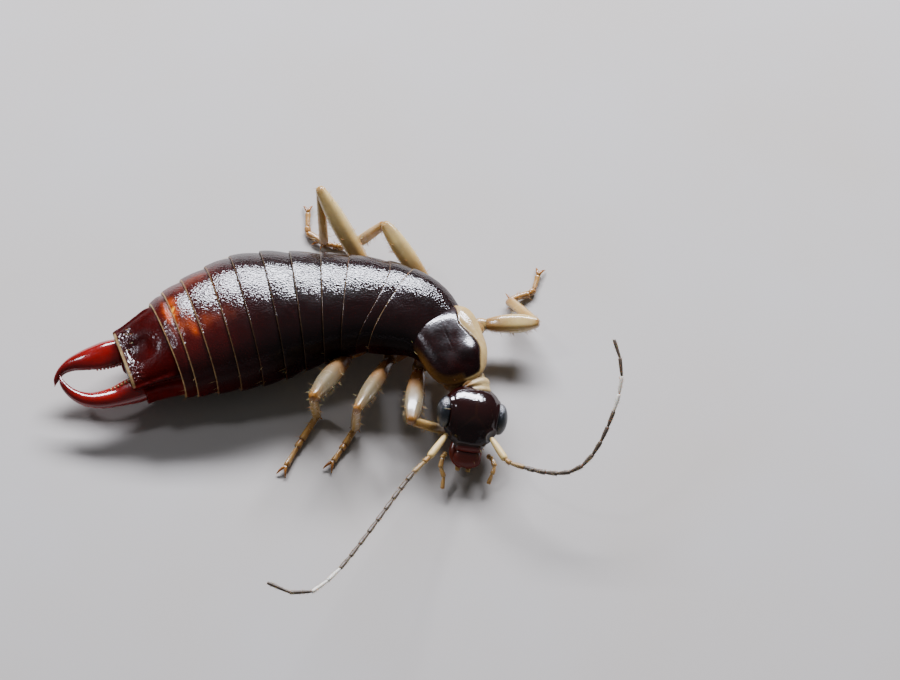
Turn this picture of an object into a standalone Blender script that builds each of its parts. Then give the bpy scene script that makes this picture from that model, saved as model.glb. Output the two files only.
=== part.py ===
"""A still, life-size earwig: a wingless male at rest on its feet and belly.

The named sizes are millimetres and the meshes are metres. +X runs along the abdomen
towards the head, +Z is up and z = 0 is the floor. Left and right are the animal's own.
"""

import math

import bmesh
import bpy
from mathutils import Matrix, Vector

MM = 0.001
GAP = 0.2
SMALL_GAP = 0.1
MIDDLE = Vector((2.92, 1.67, 0.0))
UP = Vector((0.0, 0.0, 1.0))

# Trunk stations from the tail forward: x, y, heading, half width, underside, back.
TRUNK = (
    (-8.44, -0.76, 21, 1.00, 0.40, 1.50),
    (-7.36, -0.22, 23, 1.40, 0.22, 1.92),
    (-7.05, -0.05, 21, 1.54, 0.14, 2.05),
    (-6.56, 0.19, 20, 1.67, 0.06, 2.16),
    (-5.95, 0.44, 18, 1.80, -0.03, 2.27),
    (-5.35, 0.66, 16, 1.88, -0.05, 2.34),
    (-4.65, 0.83, 13, 1.83, -0.03, 2.36),
    (-4.00, 0.92, 9, 1.69, 0.12, 2.34),
    (-3.33, 0.97, 3, 1.57, 0.28, 2.30),
    (-2.72, 0.98, -4, 1.47, 0.42, 2.26),
    (-2.12, 0.94, -15, 1.40, 0.52, 2.22),
    (-1.49, 0.78, -28, 1.33, 0.60, 2.17),
    (-0.55, 0.32, -40, 1.12, 0.66, 2.04),
    (0.05, -0.50, -60, 0.90, 0.70, 1.90),
)
WIDEST_LEVEL = 0.45
TRUNK_SIDES = 26
# How far the rounding of an end reaches beyond its last ring.
LEG_ROUND = 0.06
TIP_ROUND = 0.05
BODY_ROUND = 0.08

# Stations at which the abdomen's rings have their rear edges, the last one hindmost.
TERGITE_EDGES = (10, 9, 8, 7, 6, 5, 4, 3, 2, 1)
LIP_DROP = 0.045
LIP_RUN = 0.03
# Where a ring has risen most of the way to its lip, in stations, and what it still lacks.
RING_SHOULDER = 0.45
SHOULDER_DROP = 0.35
METATHORAX = (10.0, 11.0)
MESOTHORAX = (11.0, 12.9)

# How square a cross-section is: 1 is an ellipse, and less is squarer.
BODY_POWER = 0.86
LAST_SEGMENT_POWER = 0.62
SHIELD_POWER = 0.62
HEAD_POWER = 0.92

# Pronotum: a rounded shield, square to its own heading.
PRONOTUM_MIDDLE = Vector((-0.02, -0.43, 0.0))
PRONOTUM_HEADING = math.radians(-67.0)
PRONOTUM_LENGTH = 2.20
PRONOTUM_REAR_WIDTH = 1.90
PRONOTUM_FRONT_WIDTH = 1.54
PRONOTUM_EDGE_HEIGHT = 1.72
PRONOTUM_DOME = 0.28
PRONOTUM_THICK = 0.28
PRONOTUM_EDGE_THICK = 0.16
PRONOTUM_COLUMNS = 28
PRONOTUM_ROWS = (0.35, 0.70, 0.92, 1.0)
# Levels well below and above the animal, between which a block reaches.
BLOCK_LOW = -1.0
BLOCK_HIGH = 4.0
PROTHORAX_LENGTH = 1.30
PROTHORAX_WIDTH = 1.24
PROTHORAX_BOTTOM = 0.66
PROTHORAX_TOP = 1.46
NECK_RADIUS = 0.28
NECK_LEVEL = 1.02
NECK_SHORT = 0.12
NECK_DROP = 0.06

# Head: the middle of its back, its heading, how far it points down and its roll.
HEAD_BACK = Vector((0.62, -1.52, 1.20))
HEAD_HEADING = math.radians(-95.5)
HEAD_PITCH = math.radians(16.0)
HEAD_ROLL = math.radians(14.0)
HEAD_LENGTH = 1.60
# Along the head from its back: share of the length, half width, half height.
HEAD_OUTLINE = (
    (0.00, 0.44, 0.28),
    (0.10, 0.64, 0.40),
    (0.28, 0.80, 0.49),
    (0.46, 0.83, 0.51),
    (0.64, 0.75, 0.45),
    (0.80, 0.58, 0.36),
    (0.92, 0.42, 0.27),
    (1.00, 0.34, 0.20),
)
EYE_PLACE = 0.43
EYE_SIDE = 0.72
EYE_HEIGHT = 0.06
EYE_HALF_LENGTH = 0.34
EYE_HALF_HEIGHT = 0.26
EYE_BULGE = 0.18
LABRUM_LENGTH = 0.34
LABRUM_HALF_WIDTH = 0.40
LABRUM_HALF_HEIGHT = 0.13
# Share of its length, share of its thickness.
LABRUM_OUTLINE = ((0.0, 0.9), (0.5, 1.0), (1.0, 0.7))
LABRUM_LEVEL = -0.05
LABRUM_FALL = 0.12
# One jaw in the head's own axes: along, to its side, up, half thickness.
MANDIBLE = ((1.36, 0.22, -0.40, 0.14), (1.72, 0.24, -0.42, 0.14), (2.06, 0.15, -0.42, 0.10))

# Feelers: places along the middle line and the half thickness from root to tip.
ANTENNA_RIGHT = (
    (-0.08, -2.71, 1.00), (-0.48, -3.41, 1.15), (-0.88, -3.95, 1.30), (-1.28, -4.68, 1.55),
    (-2.09, -6.22, 2.00), (-2.65, -7.27, 2.40), (-3.11, -7.90, 2.65), (-3.45, -8.18, 2.80),
    (-3.90, -8.20, 2.92), (-4.37, -8.00, 3.00),
)
ANTENNA_LEFT = (
    (1.05, -2.83, 1.00), (1.42, -3.50, 1.05), (1.78, -3.72, 1.12), (2.27, -3.95, 1.25),
    (2.77, -4.10, 1.42), (3.20, -4.08, 1.60), (3.56, -3.80, 1.78), (3.82, -3.45, 2.00),
    (4.02, -3.05, 2.22), (4.20, -2.62, 2.45), (4.31, -2.20, 2.66), (4.32, -1.86, 2.84),
    (4.25, -1.50, 3.00), (4.14, -1.20, 3.12),
)
ANTENNA_ROOT_RADIUS = 0.25
ANTENNA_TIP_RADIUS = 0.16
# Articles of a feeler: the scape, the short second one, the third, then ever longer ones.
SCAPE_LENGTH = 0.90
PEDICEL_LENGTH = 0.24
THIRD_LENGTH = 0.46
FOURTH_LENGTH = 0.36
LAST_LENGTH = 0.60
ARTICLES = 16
# Nodes of a feeler and the first article of each.
ANTENNA_NODES = (("scape", 0), ("root", 1), ("middle", 6), ("tip", 11))
# One article's outline: share of its length, share of its full thickness.
ARTICLE_OUTLINE = ((0.0, 0.74), (0.22, 0.94), (0.75, 1.0))
# Share of the full thickness where a length ends at a joint and where the feeler ends.
JOINT_THICK = 0.9
TIP_THICK = 0.6
# The least distance between the first two rings of a length.
RING_STEP = 0.06

PALP_RIGHT = ((-0.10, -2.98, 0.52), (-0.26, -3.30, 0.50), (-0.16, -3.58, 0.38), (-0.20, -3.88, 0.24))
PALP_LEFT = ((0.96, -3.02, 0.44), (1.15, -3.24, 0.46), (1.09, -3.50, 0.38), (0.98, -3.74, 0.24))
PALP_ROOT_RADIUS = 0.20
PALP_TIP_RADIUS = 0.13

# Forceps: middle line, with the half thickness across and up.
FORCEPS_LEFT = (
    (-8.78, -0.23, 0.95, 0.32, 0.26), (-9.12, -0.34, 0.95, 0.29, 0.23),
    (-9.50, -0.45, 0.92, 0.23, 0.19), (-9.83, -0.53, 0.86, 0.18, 0.16),
    (-10.08, -0.67, 0.78, 0.13, 0.13), (-10.22, -0.85, 0.68, 0.10, 0.10),
    (-10.26, -1.04, 0.60, 0.07, 0.07),
)
FORCEPS_RIGHT = (
    (-8.36, -1.42, 0.85, 0.28, 0.24), (-8.62, -1.52, 0.85, 0.27, 0.23),
    (-8.95, -1.61, 0.86, 0.24, 0.20), (-9.28, -1.63, 0.88, 0.20, 0.17),
    (-9.58, -1.55, 0.91, 0.16, 0.14), (-9.82, -1.41, 0.96, 0.13, 0.12),
    (-10.00, -1.22, 1.02, 0.09, 0.09), (-10.08, -1.02, 1.08, 0.06, 0.07),
)

# Legs: hip, end of the coxa, knee, ankle, middle of the foot, toe.
LEGS = {
    "leg_front_right": (
        (-0.52, -0.14, 0.86), (-0.81, -0.55, 0.65), (-0.99, -2.50, 1.30),
        (-0.10, -2.14, 0.38), (0.30, -2.30, 0.26), (0.66, -2.42, 0.17)),
    "leg_front_left": (
        (0.26, 0.16, 0.86), (0.82, 0.74, 0.76), (2.28, 0.66, 1.00),
        (1.57, 1.86, 0.38), (2.20, 2.20, 0.26), (2.36, 2.72, 0.17)),
    "leg_middle_right": (
        (-1.25, 0.05, 0.80), (-1.54, -0.21, 0.65), (-2.36, -2.44, 1.80),
        (-2.46, -2.08, 0.38), (-2.71, -2.50, 0.26), (-3.02, -3.02, 0.17)),
    "leg_middle_left": (
        (-0.72, 1.05, 0.80), (-0.47, 1.80, 0.65), (-1.73, 3.44, 1.50),
        (-2.64, 3.59, 0.38), (-3.07, 3.66, 0.26), (-3.46, 3.79, 0.17)),
    "leg_hind_right": (
        (-2.10, 0.32, 0.80), (-2.64, -0.06, 0.65), (-3.47, -2.22, 2.00),
        (-3.46, -1.70, 0.38), (-3.86, -2.42, 0.26), (-4.23, -3.16, 0.17)),
    "leg_hind_left": (
        (-1.65, 1.42, 0.80), (-2.02, 2.13, 0.65), (-3.46, 4.30, 1.90),
        (-3.39, 3.69, 0.38), (-3.84, 4.12, 0.26), (-3.86, 4.76, 0.17)),
}
# Each length's first place, its swelling from root to end, half depth and half thickness.
LEG_PARTS = {
    "coxa": (0, (1.0, 1.0, 0.85), 0.28, 0.28),
    "femur": (1, (0.8, 1.05, 1.1, 0.9, 0.7), 0.28, 0.25),
    "tibia": (2, (0.9, 1.0, 1.0, 0.9), 0.25, 0.25),
}
TARSUS_RADIUS = 0.25
TOE_RADIUS = 0.17
FOOT_SINK = 0.02
# The foot's outline: share of its length, share of its thickness, with a short middle joint.
FOOT_OUTLINE = (
    (0.0, 0.72), (0.18, 0.86), (0.46, 0.92), (0.52, 0.74), (0.58, 1.0), (0.66, 0.96),
    (0.70, 0.80), (0.85, 0.94), (0.96, 1.06),
)
CLAW_LENGTH = 0.34
CLAW_RADIUS = 0.11
CLAW_SPREAD = math.radians(24)
# One claw: share of its length, share of its thickness, rise.
CLAW_OUTLINE = ((-0.3, 1.0, 0.0), (0.35, 0.8, 0.02), (0.75, 0.5, -0.02), (1.0, 0.2, -0.09))

BLACK_BROWN = (0.020, 0.009, 0.008)
DARK_RED = (0.085, 0.010, 0.008)
BLOOD_RED = (0.200, 0.010, 0.008)
AMBER = (0.420, 0.190, 0.055)
STRAW = (0.720, 0.500, 0.210)
GREY_BROWN = (0.230, 0.160, 0.100)
CREAM = (0.780, 0.680, 0.470)
EYE_BLACK = (0.012, 0.012, 0.014)
LEG_COLOURS = {"coxa": AMBER, "femur": STRAW, "tibia": STRAW, "tarsus": AMBER}
SHELL_ROUGHNESS = 0.28
HORN_ROUGHNESS = 0.22
LEG_ROUGHNESS = 0.35
SKIN_ROUGHNESS = 0.45
EYE_ROUGHNESS = 0.15


def spline(stations, place):
    """Return the smooth blend of the stations at a place counted in stations."""
    last = len(stations) - 1
    place = min(max(place, 0.0), float(last))
    first = min(int(place), last - 1)
    share = place - first
    around = [stations[min(max(first + step, 0), last)] for step in (-1, 0, 1, 2)]
    blended = []
    for before, here, beyond, after in zip(*around):
        slope_in = (beyond - before) / 2
        slope_out = (after - here) / 2
        blended.append(
            here * (2 * share**3 - 3 * share**2 + 1)
            + slope_in * (share**3 - 2 * share**2 + share)
            + beyond * (3 * share**2 - 2 * share**3)
            + slope_out * (share**3 - share**2)
        )
    return blended


def ring(middle, across, up, half_width, half_top, half_bottom, sides, power=1.0):
    """Return a closed ring of points, a rounded box where the power is under 1."""
    points = []
    for index in range(sides):
        angle = 2 * math.pi * (index + 0.5) / sides
        side, rise = math.cos(angle), math.sin(angle)
        side = math.copysign(abs(side) ** power, side) * half_width
        rise = math.copysign(abs(rise) ** power, rise) * (half_top if rise > 0 else half_bottom)
        points.append(middle + across * side + up * rise)
    return points


def grown(points, scale, shift):
    """Return a ring scaled about its own middle and moved."""
    middle = sum(points, Vector()) / len(points)
    return [middle + (point - middle) * scale + shift for point in points]


def rounded_ends(rings, rear, front):
    """Add shrinking rings that round the two ends by the given depths."""
    def cap(points, outward, depth):
        return [
            grown(points, math.cos(turn), outward * depth * math.sin(turn))
            for turn in (math.radians(38), math.radians(68))
        ]

    back_way = (rings[0][0] - rings[1][0]).normalized()
    front_way = (rings[-1][0] - rings[-2][0]).normalized()
    if rear:
        rings = cap(rings[0], back_way, rear)[::-1] + rings
    if front:
        rings = rings + cap(rings[-1], front_way, front)
    return rings


def loft(rings):
    """Return a closed bmesh skinned over the rings, with a fan over each end."""
    shape = bmesh.new()
    rows = [[shape.verts.new(point) for point in points] for points in rings]
    for row, following in zip(rows, rows[1:]):
        for index in range(len(row)):
            after = (index + 1) % len(row)
            shape.faces.new((row[index], row[after], following[after], following[index]))
    for row in (rows[0], rows[-1]):
        hub = shape.verts.new(sum((vert.co for vert in row), Vector()) / len(row))
        for index in range(len(row)):
            shape.faces.new((row[index], row[(index + 1) % len(row)], hub))
    bmesh.ops.recalc_face_normals(shape, faces=shape.faces)
    return shape


def tube(path, up, sides=10, steps=12, rear=0.0, front=0.0, places=None):
    """Loft a round-ended tube along a smooth path of x, y, z, half width, half height."""
    if places is None:
        span = len(path) - 1
        places = [span * step / steps for step in range(steps + 1)]
    rings = []
    for place in places:
        x, y, z, half_width, half_height = spline(path, place)
        ahead = Vector(spline(path, place + 0.02)[:3])
        behind = Vector(spline(path, place - 0.02)[:3])
        way = (ahead - behind).normalized()
        across = way.cross(up).normalized()
        square_up = across.cross(way).normalized()
        rings.append(
            ring(Vector((x, y, z)), across, square_up, half_width, half_height, half_height, sides)
        )
    return loft(rounded_ends(rings, rear, front))


def trunk_ring(place, scale=1.0, power=BODY_POWER):
    """Return the trunk's ring at a place counted in stations."""
    x, y, heading, half_width, bottom, top = spline(TRUNK, place)
    across = Vector((math.sin(math.radians(heading)), -math.cos(math.radians(heading)), 0.0))
    level = bottom + (top - bottom) * WIDEST_LEVEL
    return ring(
        Vector((x, y, level)), across, UP, half_width * scale,
        (top - level) * scale, (level - bottom) * scale, TRUNK_SIDES, power,
    )


def trunk_run(place):
    """Return how many millimetres one station is worth at a place."""
    ahead = spline(TRUNK, place + 0.05)
    behind = spline(TRUNK, place - 0.05)
    return math.hypot(ahead[0] - behind[0], ahead[1] - behind[1]) / 0.1


def set_on_floor(shape):
    """Press whatever reaches below the floor into a small flat."""
    for vert in shape.verts:
        vert.co.z = max(vert.co.z, 0.0)


def material(name, colour, roughness):
    """Return a Principled material."""
    surface = bpy.data.materials.new(name)
    surface.use_nodes = True
    principled = surface.node_tree.nodes["Principled BSDF"]
    principled.inputs["Base Color"].default_value = (*colour, 1.0)
    principled.inputs["Roughness"].default_value = roughness
    principled.inputs["Metallic"].default_value = 0.0
    return surface


def put(name, shape, root, colour, roughness, parent):
    """Make an object of the shape, with its own origin at the root."""
    root = Vector(root)
    mesh = bpy.data.meshes.new(name)
    bmesh.ops.translate(shape, verts=shape.verts, vec=-root)
    bmesh.ops.scale(shape, verts=shape.verts, vec=(MM, MM, MM))
    bmesh.ops.triangulate(shape, faces=shape.faces)
    shape.to_mesh(mesh)
    shape.free()
    mesh.shade_smooth()
    mesh.set_sharp_from_angle(angle=math.radians(40))
    mesh.materials.append(material(name + "_surface", colour, roughness))
    piece = bpy.data.objects.new(name, mesh)
    piece.location = root * MM
    piece.parent = parent
    bpy.context.collection.objects.link(piece)
    return piece


def joined(pieces):
    """Return the largest closed surface of several shapes fused into one."""
    gathered = bpy.data.collections.new("gathered")
    holders = []
    for piece in pieces:
        mesh = bpy.data.meshes.new("piece")
        piece.to_mesh(mesh)
        piece.free()
        holders.append(bpy.data.objects.new("piece", mesh))
        bpy.context.collection.objects.link(holders[-1])
    for holder in holders[1:]:
        gathered.objects.link(holder)
    boolean = holders[0].modifiers.new("Join", "BOOLEAN")
    boolean.operation = "UNION"
    boolean.solver = "EXACT"
    boolean.operand_type = "COLLECTION"
    boolean.collection = gathered
    evaluated = holders[0].evaluated_get(bpy.context.evaluated_depsgraph_get())
    result = bmesh.new()
    result.from_mesh(evaluated.to_mesh())
    evaluated.to_mesh_clear()
    for holder in holders:
        bpy.data.objects.remove(holder, do_unlink=True)
    bpy.data.collections.remove(gathered)
    return largest(result)


def largest(shape):
    """Keep only the part of a shape with the most faces in one closed surface."""
    unseen = set(shape.verts)
    islands = []
    while unseen:
        front = [unseen.pop()]
        island = set(front)
        while front:
            for edge in front.pop().link_edges:
                for vert in edge.verts:
                    if vert not in island:
                        island.add(vert)
                        front.append(vert)
        unseen -= island
        islands.append(island)
    keep = max(islands, key=len)
    bmesh.ops.delete(shape, geom=[vert for vert in shape.verts if vert not in keep], context="VERTS")
    return shape


def near(shape, other):
    """Tell whether the boxes around two shapes meet."""
    for axis in range(3):
        reach = [vert.co[axis] for vert in shape.verts]
        other_reach = [vert.co[axis] for vert in other.verts]
        if min(reach) > max(other_reach) or min(other_reach) > max(reach):
            return False
    return True


def cut(shape, cutter):
    """Return the shape with the cutter taken away."""
    if not near(shape, cutter):
        cutter.free()
        return shape
    holders = []
    for name, source in (("kept", shape), ("cutter", cutter)):
        mesh = bpy.data.meshes.new(name)
        source.to_mesh(mesh)
        source.free()
        holders.append(bpy.data.objects.new(name, mesh))
        bpy.context.collection.objects.link(holders[-1])
    boolean = holders[0].modifiers.new("Cut", "BOOLEAN")
    boolean.operation = "DIFFERENCE"
    boolean.solver = "EXACT"
    boolean.object = holders[1]
    evaluated = holders[0].evaluated_get(bpy.context.evaluated_depsgraph_get())
    result = bmesh.new()
    result.from_mesh(evaluated.to_mesh())
    evaluated.to_mesh_clear()
    for holder in holders:
        bpy.data.objects.remove(holder, do_unlink=True)
    return result


def ball(middle, frame, half_sizes, columns=16, rows=10):
    """Return a stretched ball whose axes follow the columns of the frame."""
    shape = bmesh.new()
    bmesh.ops.create_uvsphere(shape, u_segments=columns, v_segments=rows, radius=1.0)
    stretch = Matrix.Diagonal((*half_sizes, 1.0))
    bmesh.ops.transform(
        shape, matrix=Matrix.Translation(middle) @ frame.to_4x4() @ stretch, verts=shape.verts
    )
    return shape


def leg_length(places, part, grow=0.0):
    """Return one straight length of a leg, or a larger one that clears it."""
    index, swell, half_depth, half_thick = LEG_PARTS[part]
    start, end = (Vector(place) for place in places[index:index + 2])
    way = (end - start).normalized()
    path = []
    for step, scale in enumerate(swell):
        place = (start - way * grow).lerp(end + way * grow, step / (len(swell) - 1))
        path.append((*place, half_depth * scale + grow, half_thick * scale + grow))
    normal = leg_normal(places)
    steps = 2 * len(swell) - 2
    return tube(path, normal, sides=8, steps=steps, rear=LEG_ROUND, front=LEG_ROUND)


def leg_normal(places):
    """Return the direction square to the plane in which a leg bends."""
    trochanter, knee, ankle = (Vector(place) for place in places[1:4])
    return (knee - trochanter).cross(ankle - knee).normalized()


def foot(places):
    """Return the three-jointed foot with its two claws, lying on a small flat."""
    line = [(*place[:2], 0.0) for place in places[3:]]
    place_at, _ = measured(line)
    path = []
    for share, thick in FOOT_OUTLINE:
        radius = (TARSUS_RADIUS + (TOE_RADIUS - TARSUS_RADIUS) * share) * thick
        x, y, _ = spline(line, place_at(share))
        path.append((x, y, radius - FOOT_SINK, radius, radius))
    pieces = [tube(path, UP, sides=8, places=range(len(path)), rear=LEG_ROUND, front=TIP_ROUND)]
    toe = Vector(path[-1][:3])
    way = Vector(line[-1]) - Vector(line[-2])
    for side in (1, -1):
        turned = Matrix.Rotation(side * CLAW_SPREAD, 3, "Z") @ way.normalized()
        claw = []
        for share, thick, rise in CLAW_OUTLINE:
            point = toe + turned * CLAW_LENGTH * share + UP * rise
            claw.append((*point, CLAW_RADIUS * thick, CLAW_RADIUS * thick))
        pieces.append(tube(claw, UP, sides=6, places=range(len(claw))))
    shape = joined(pieces)
    set_on_floor(shape)
    return shape


def clear_of_legs(shape):
    """Cut the hollows in which the coxae and the roots of the femora sit."""
    for places in LEGS.values():
        for part in ("coxa", "femur"):
            shape = cut(shape, leg_length(places, part, GAP))
    return shape


def abdomen(parent):
    """Nine overlapping rings, each with a rear lip raised over the next."""
    places = []
    for front, rear in zip(TERGITE_EDGES, TERGITE_EDGES[1:]):
        ahead = GAP / 2 if front == TERGITE_EDGES[0] else LIP_RUN
        behind = GAP / 2 if rear == TERGITE_EDGES[-1] else LIP_RUN
        places.append((front - ahead / trunk_run(front), 1 - LIP_DROP))
        places.append((front - RING_SHOULDER, 1 - LIP_DROP * SHOULDER_DROP))
        places.append((rear + behind / trunk_run(rear), 1.0))
    rings = [trunk_ring(place, scale) for place, scale in reversed(places)]
    shape = clear_of_legs(loft(rings))
    set_on_floor(shape)
    put("abdomen", shape, (-4.65, 0.83, 1.2), BLACK_BROWN, SHELL_ROUGHNESS, parent)


def last_segment(parent):
    """The squarish tenth segment that carries the forceps."""
    front = TERGITE_EDGES[-1] - GAP / 2 / trunk_run(TERGITE_EDGES[-1])
    steps = 6
    rings = []
    for step in range(steps + 1):
        share = step / steps
        power = LAST_SEGMENT_POWER + (BODY_POWER - LAST_SEGMENT_POWER) * share**2
        rings.append(trunk_ring(front * share, 1 - LIP_DROP * share, power))
    shape = loft(rounded_ends(rings, LEG_ROUND, 0.0))
    put("last_segment", shape, (-7.9, -0.5, 1.1), DARK_RED, SHELL_ROUGHNESS, parent)


def forceps(parent):
    """The two bowed arms, the right one bent the more, whose tips cross."""
    for side, path in (("left", FORCEPS_LEFT), ("right", FORCEPS_RIGHT)):
        shape = tube(path, UP, sides=10, steps=14, front=TIP_ROUND)
        put("forceps_" + side, shape, path[0][:3], BLOOD_RED, HORN_ROUGHNESS, parent)


def shield_heading():
    """Return the direction in which the pronotum points."""
    return Vector((math.cos(PRONOTUM_HEADING), math.sin(PRONOTUM_HEADING), 0.0))


def plate(grow=0.0, block=False):
    """Return the pronotum's shield, or a taller block around it."""
    heading = shield_heading()
    side_way = heading.cross(UP)

    def rim(share, angle):
        along, side = math.cos(angle), math.sin(angle)
        along = math.copysign(abs(along) ** SHIELD_POWER, along)
        side = math.copysign(abs(side) ** SHIELD_POWER, side)
        taper = PRONOTUM_FRONT_WIDTH - PRONOTUM_REAR_WIDTH
        half_width = (PRONOTUM_REAR_WIDTH + taper * (along + 1) / 2) / 2
        return (
            PRONOTUM_MIDDLE
            + heading * along * share * (PRONOTUM_LENGTH / 2 + grow)
            + side_way * side * share * (half_width + grow)
        )

    def level(share, upper):
        if block:
            return BLOCK_HIGH if upper else BLOCK_LOW
        height = PRONOTUM_EDGE_HEIGHT + PRONOTUM_DOME * (1 - share**2)
        thick = PRONOTUM_THICK + (PRONOTUM_EDGE_THICK - PRONOTUM_THICK) * share**2
        return height if upper else height - thick

    turns = [
        2 * math.pi * (index + 0.5) / PRONOTUM_COLUMNS for index in range(PRONOTUM_COLUMNS)
    ]
    rings = [
        [rim(share, turn) + UP * level(share, upper) for turn in turns]
        for shares, upper in ((PRONOTUM_ROWS, False), (PRONOTUM_ROWS[::-1], True))
        for share in shares
    ]
    return loft(rings)


def pronotum(parent):
    """The shield behind the head."""
    root = PRONOTUM_MIDDLE + UP * PRONOTUM_EDGE_HEIGHT
    put("pronotum", plate(), root, BLACK_BROWN, HORN_ROUGHNESS, parent)


def prothorax_path(share):
    """Return a place along the prothorax, from -0.5 at its rear to 0.5 in front."""
    return PRONOTUM_MIDDLE + shield_heading() * PROTHORAX_LENGTH * share


def prothorax(parent):
    """The body under the shield, which carries the front legs."""
    middle_height = (PROTHORAX_TOP + PROTHORAX_BOTTOM) / 2
    half_height = (PROTHORAX_TOP - PROTHORAX_BOTTOM) / 2
    rings = []
    for share in (-0.5, -0.25, 0.0, 0.25, 0.5):
        shrink = 1 - 0.5 * max(share, 0.0)
        rings.append(
            ring(
                prothorax_path(share) + UP * middle_height, shield_heading().cross(UP), UP,
                PROTHORAX_WIDTH / 2 * shrink, half_height, half_height, 18, BODY_POWER,
            )
        )
    shape = clear_of_legs(loft(rounded_ends(rings, BODY_ROUND, BODY_ROUND)))
    root = prothorax_path(0.0) + UP * middle_height
    put("prothorax", shape, root, AMBER, SKIN_ROUGHNESS, parent)


def thorax(parent):
    """The middle and hind thorax, cut clear of the shield in front."""
    for name, (rear, front) in (("metathorax", METATHORAX), ("mesothorax", MESOTHORAX)):
        rear += GAP / 2 / trunk_run(rear)
        front -= GAP / 2 / trunk_run(front)
        steps = 6
        rings = []
        for step in range(steps + 1):
            share = step / steps
            rings.append(trunk_ring(rear + (front - rear) * share, 1 - LIP_DROP * share))
        shape = loft(rings)
        if name == "mesothorax":
            shape = cut(shape, plate(GAP, block=True))
        shape = clear_of_legs(shape)
        x, y = spline(TRUNK, rear)[:2]
        put(name, shape, (x, y, 1.4), BLACK_BROWN, SHELL_ROUGHNESS, parent)


def head_frame():
    """Return the head's axes: forward, to its left and up."""
    return (
        Matrix.Rotation(HEAD_HEADING, 3, "Z")
        @ Matrix.Rotation(HEAD_PITCH, 3, "Y")
        @ Matrix.Rotation(-HEAD_ROLL, 3, "X")
    )


def in_head(along, side, rise):
    """Return the place of a point given along, left of and above the head's middle line."""
    return HEAD_BACK + head_frame() @ Vector((along, side, rise))


def neck(parent):
    """The soft link between the prothorax and the head."""
    rear = prothorax_path(0.5) + shield_heading() * (BODY_ROUND + GAP) + UP * NECK_LEVEL
    front = in_head(-GAP - NECK_SHORT, 0.0, -NECK_DROP)
    path = [(*place, NECK_RADIUS, NECK_RADIUS) for place in (rear, front)]
    put("neck", tube(path, UP, sides=14, steps=2), rear, CREAM, SKIN_ROUGHNESS, parent)


def head(parent):
    """The head capsule, with sockets for the eyes."""
    axes = head_frame()
    rings = []
    for share, half_width, half_height in (
        spline(HEAD_OUTLINE, place / 2) for place in range(2 * len(HEAD_OUTLINE) - 1)
    ):
        rings.append(
            ring(
                in_head(share * HEAD_LENGTH, 0.0, 0.0), -axes.col[1], axes.col[2],
                half_width, half_height, half_height, 24, HEAD_POWER,
            )
        )
    shape = loft(rounded_ends(rings, TIP_ROUND, TIP_ROUND))
    for side in (1, -1):
        socket = ball(
            in_head(EYE_PLACE * HEAD_LENGTH, side * EYE_SIDE, EYE_HEIGHT), axes,
            (EYE_HALF_LENGTH + SMALL_GAP, EYE_BULGE + SMALL_GAP, EYE_HALF_HEIGHT + SMALL_GAP),
        )
        jaw = tube(mandible_path(side, SMALL_GAP), axes.col[2], sides=10, steps=4, rear=SMALL_GAP)
        shape = cut(cut(shape, socket), jaw)
    for line, radius in (
        (ANTENNA_LEFT, ANTENNA_ROOT_RADIUS), (ANTENNA_RIGHT, ANTENNA_ROOT_RADIUS),
        (PALP_LEFT, PALP_ROOT_RADIUS), (PALP_RIGHT, PALP_ROOT_RADIUS),
    ):
        path = [(*place, radius + SMALL_GAP, radius + SMALL_GAP) for place in line[:3]]
        shape = cut(shape, tube(path, UP, sides=10, steps=4, rear=SMALL_GAP))
    put("head", shape, HEAD_BACK, BLACK_BROWN, HORN_ROUGHNESS, parent)
    for side, name in ((1, "eye_left"), (-1, "eye_right")):
        middle = in_head(EYE_PLACE * HEAD_LENGTH, side * EYE_SIDE, EYE_HEIGHT)
        eye = ball(middle, axes, (EYE_HALF_LENGTH, EYE_BULGE, EYE_HALF_HEIGHT))
        put(name, eye, middle, EYE_BLACK, EYE_ROUGHNESS, parent)


def mandible_path(side, grow=0.0):
    """Return the middle line of a jaw, for the left with side 1 and the right with -1."""
    return [
        (*in_head(along, side * out, rise), radius + grow, radius + grow)
        for along, out, rise, radius in MANDIBLE
    ]


def mouth(parent):
    """The lip plate, the two jaws under it and the two long palps."""
    start = HEAD_LENGTH + TIP_ROUND + SMALL_GAP
    path = []
    for share, scale in LABRUM_OUTLINE:
        place = in_head(start + LABRUM_LENGTH * share, 0.0, LABRUM_LEVEL - LABRUM_FALL * share)
        path.append((*place, LABRUM_HALF_WIDTH * scale, LABRUM_HALF_HEIGHT * scale))
    up = head_frame().col[2]
    lip = tube(path, up, sides=14, steps=5, front=TIP_ROUND)
    put("labrum", lip, path[0][:3], DARK_RED, SHELL_ROUGHNESS, parent)
    for side, name, line in ((1, "left", PALP_LEFT), (-1, "right", PALP_RIGHT)):
        root = mandible_path(side)[0][:3]
        jaw = tube(mandible_path(side), up, sides=10, steps=5, front=TIP_ROUND)
        put("mandible_" + name, jaw, root, DARK_RED, SHELL_ROUGHNESS, parent)
        path = []
        for index, place in enumerate(line):
            share = index / (len(line) - 1)
            radius = PALP_ROOT_RADIUS + (PALP_TIP_RADIUS - PALP_ROOT_RADIUS) * share
            path.append((*place, radius, radius))
        feeler = tube(path, UP, sides=8, steps=8, front=BODY_ROUND)
        put("palp_" + name, feeler, line[0], STRAW, LEG_ROUGHNESS, parent)


def article_ends():
    """Return where each article of a feeler ends, as shares of the whole length."""
    lengths = [SCAPE_LENGTH, PEDICEL_LENGTH, THIRD_LENGTH]
    left = ARTICLES - len(lengths)
    lengths += [
        FOURTH_LENGTH + (LAST_LENGTH - FOURTH_LENGTH) * index / (left - 1) for index in range(left)
    ]
    total = sum(lengths)
    return [sum(lengths[:count]) / total for count in range(ARTICLES + 1)]


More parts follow.
